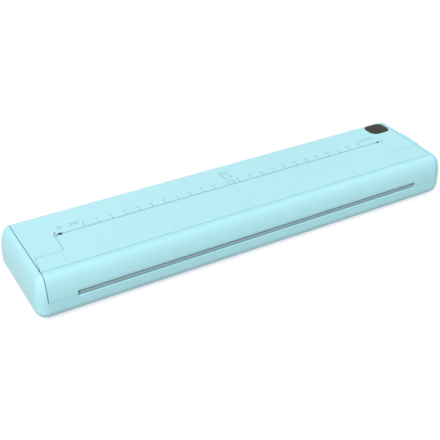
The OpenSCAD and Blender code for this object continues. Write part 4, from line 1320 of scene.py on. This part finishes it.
for name, node, axis, headAt, body in (("caseScrews", "case_screws", 2, "low", "base"),
                                       ("carrierScrews", "carrier_screws", 2, "low", "cover"),
                                       ("plateScrews", "plate_screws", 2, "high", "base"),
                                       ("boardScrews", "board_screws", 2, "high", "base"),
                                       ("motorScrews", "motor_screws", 0, "low", "base")):
    dress(makeScrews(name, node, axis, headAt), body, screwSteel, node)
print("screws made")


footPlan = {
    "edge": 0.5,
    "dishRadius": 3.2,
    "dishDepth": 0.25,
    "dishEdge": 0.25,       # width of the slope round the dish
}


def makeFeet():
    plan = footPlan
    bm = bmesh.new()
    edge, dish = plan["edge"], plan["dishRadius"]
    for low, high in islandsOf("rubber_feet"):
        centre, radius = middleAcross(low, high, 2)
        floor = low[2]
        profile = [(dish * 0.5, floor + plan["dishDepth"]), (dish, floor + plan["dishDepth"]),
                   (dish + plan["dishEdge"], floor)]
        profile += [(radius - edge + edge * s, floor + edge - edge * c) for c, s in arc(0, 90, 4)]
        profile.append((radius, high[2]))
        turned(bm, profile, centre, sides=48)
    feet = solidMesh("rubberFeet", bm)
    smoothShade(feet, sharpAngle=40)
    return feet


dress(makeFeet(), "base", rollerRubber, "rubber_feet")


# ---- springs, wound from wire

springPlan = {
    "headWire": 0.7,
    "headTurns": 6.5,
    "latchWire": 0.5,
    "latchTurns": 7,
    "flatTurns": 0.8,       # turns that lie flat at each end
    "sides": 8,
    "stepsPerTurn": 20,
    "headTravel": 0.8,      # how far each is pressed together
    "latchTravel": 1.8,
}


def addCoil(bm, centre, low, high, radius, wire, turns, axis):
    # one spring: the wire climbs steadily between its flat end turns
    plan = springPlan
    r = radius - wire / 2
    flat = plan["flatTurns"]
    bottom, top = low + wire / 2, high - wire / 2
    steps = int(turns * plan["stepsPerTurn"])
    path = []
    for k in range(steps + 1):
        t = turns * k / steps
        if t < flat:
            climb = wire * t
        elif t > turns - flat:
            climb = (top - bottom) - wire * (turns - t)
        else:
            climb = wire * flat + (top - bottom - 2 * wire * flat) * (t - flat) / (turns - 2 * flat)
        across = (centre[0] + r * cos(2 * pi * t), centre[1] + r * sin(2 * pi * t))
        path.append(Vector(spotAt(axis, bottom + climb, across)))
    middle = Vector(spotAt(axis, 0, centre))
    rings = []
    for k, spot in enumerate(path):
        heading = (path[min(k + 1, steps)] - path[max(k - 1, 0)]).normalized()
        outward = spot - middle
        outward[axis] = 0
        outward.normalize()
        over = heading.cross(outward).normalized()
        rings.append([addPoint(bm, spot + (outward * c + over * s) * (wire / 2))
                      for c, s in circle(plan["sides"])])
    tubeFaces(bm, rings)


def makeSprings(name, node, kind, axis):
    wire, turns = springPlan[kind + "Wire"], springPlan[kind + "Turns"]
    bm = bmesh.new()
    for low, high in islandsOf(node):
        centre, radius = middleAcross(low, high, axis)
        addCoil(bm, centre, low[axis], high[axis], radius, wire, turns, axis)
    springs = solidMesh(name, bm)
    smoothShade(springs, sharpAngle=60)
    return springs


headSprings = makeSprings("headSprings", "head_springs", "head", 2)
latchSpring = makeSprings("latchSpring", "latch_spring", "latch", 0)
dress(headSprings, "base", groundSteel, "head_springs")
dress(latchSpring, "base", groundSteel, "latch_spring")
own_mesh(headSprings)
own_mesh(latchSpring)
print("springs wound")


# ---- floor, backdrop and light

stagePlan = {
    # lengths on the stage are metres
    "floor": 6.0,
    "floorLevel": -0.0002,  # just under the feet
    "lamps": [
        # place, size, watts
        ((-1.97, -1.914, 2.9), 2.0, 157.0),
        ((0.95, 0.15, 0.9), 0.7, 2.2),
        ((0.5, 2.4, 0.35), 1.2, 14.0),
    ],
    "sky": 0.19,
    "floorShade": 0.4,      # how light the floor is for everything but the camera and reflections
    "floorGlow": 0.68,      # keeps the shown floor white, with a faint shadow
}


def larger(tree, a, b):
    node = addNode(tree, "ShaderNodeMath")
    node.operation = "MAXIMUM"
    tree.links.new(a, node.inputs[0])
    tree.links.new(b, node.inputs[1])
    return node.outputs[0]


def shownRay(tree, other, shown):
    # one value for light that bounces, another for what the camera, a gloss or a clear piece shows
    path = tree.nodes.new("ShaderNodeLightPath")
    direct = larger(tree, path.outputs["Is Camera Ray"], path.outputs["Is Glossy Ray"])
    seen = larger(tree, direct, path.outputs["Is Transmission Ray"])
    choice = tree.nodes.new("ShaderNodeMapRange")
    choice.inputs["To Min"].default_value = other
    choice.inputs["To Max"].default_value = shown
    tree.links.new(seen, choice.inputs["Value"])
    return choice.outputs["Result"]


def makeFloorMaterial():
    plan = stagePlan
    mat, tree, shader = newMaterial("paperFloor")
    shader.inputs["Roughness"].default_value = 0.8
    shader.inputs["Specular IOR Level"].default_value = 0.1
    shade = tree.nodes.new("ShaderNodeCombineColor")
    level = shownRay(tree, plan["floorShade"], 1 - plan["floorGlow"] + 0.05)
    for channel in ("Red", "Green", "Blue"):
        tree.links.new(level, shade.inputs[channel])
    tree.links.new(shade.outputs["Color"], shader.inputs["Base Color"])
    shader.inputs["Emission Color"].default_value = (1, 1, 1, 1)
    tree.links.new(shownRay(tree, 0.0, plan["floorGlow"]), shader.inputs["Emission Strength"])
    return mat


def makeStage():
    plan = stagePlan
    half, level = plan["floor"] / 2, plan["floorLevel"]
    bm = bmesh.new()
    bm.faces.new([bm.verts.new((x, y, level))
                  for x, y in ((-half, -half), (half, -half), (half, half), (-half, half))])
    floor = newMesh("floor", bm)
    floor.data.materials.append(makeFloorMaterial())
    world = bpy.data.worlds.new("studio")
    bpy.context.scene.world = world
    world.use_nodes = True
    tree = world.node_tree
    sky = tree.nodes["Background"]
    sky.inputs["Color"].default_value = (1, 1, 1, 1)
    tree.links.new(shownRay(tree, plan["sky"], 1.0), sky.inputs["Strength"])
    for place, size, power in plan["lamps"]:
        data = bpy.data.lights.new("softLamp", "AREA")
        data.size = size
        data.energy = power
        lamp = addObject("softLamp", data)
        lamp.location = place
        lamp.rotation_euler = (-Vector(place)).to_track_quat("-Z", "Y").to_euler()
    bpy.context.scene.view_settings.view_transform = "Standard"


makeStage()
print("stage set")

print("finishing")
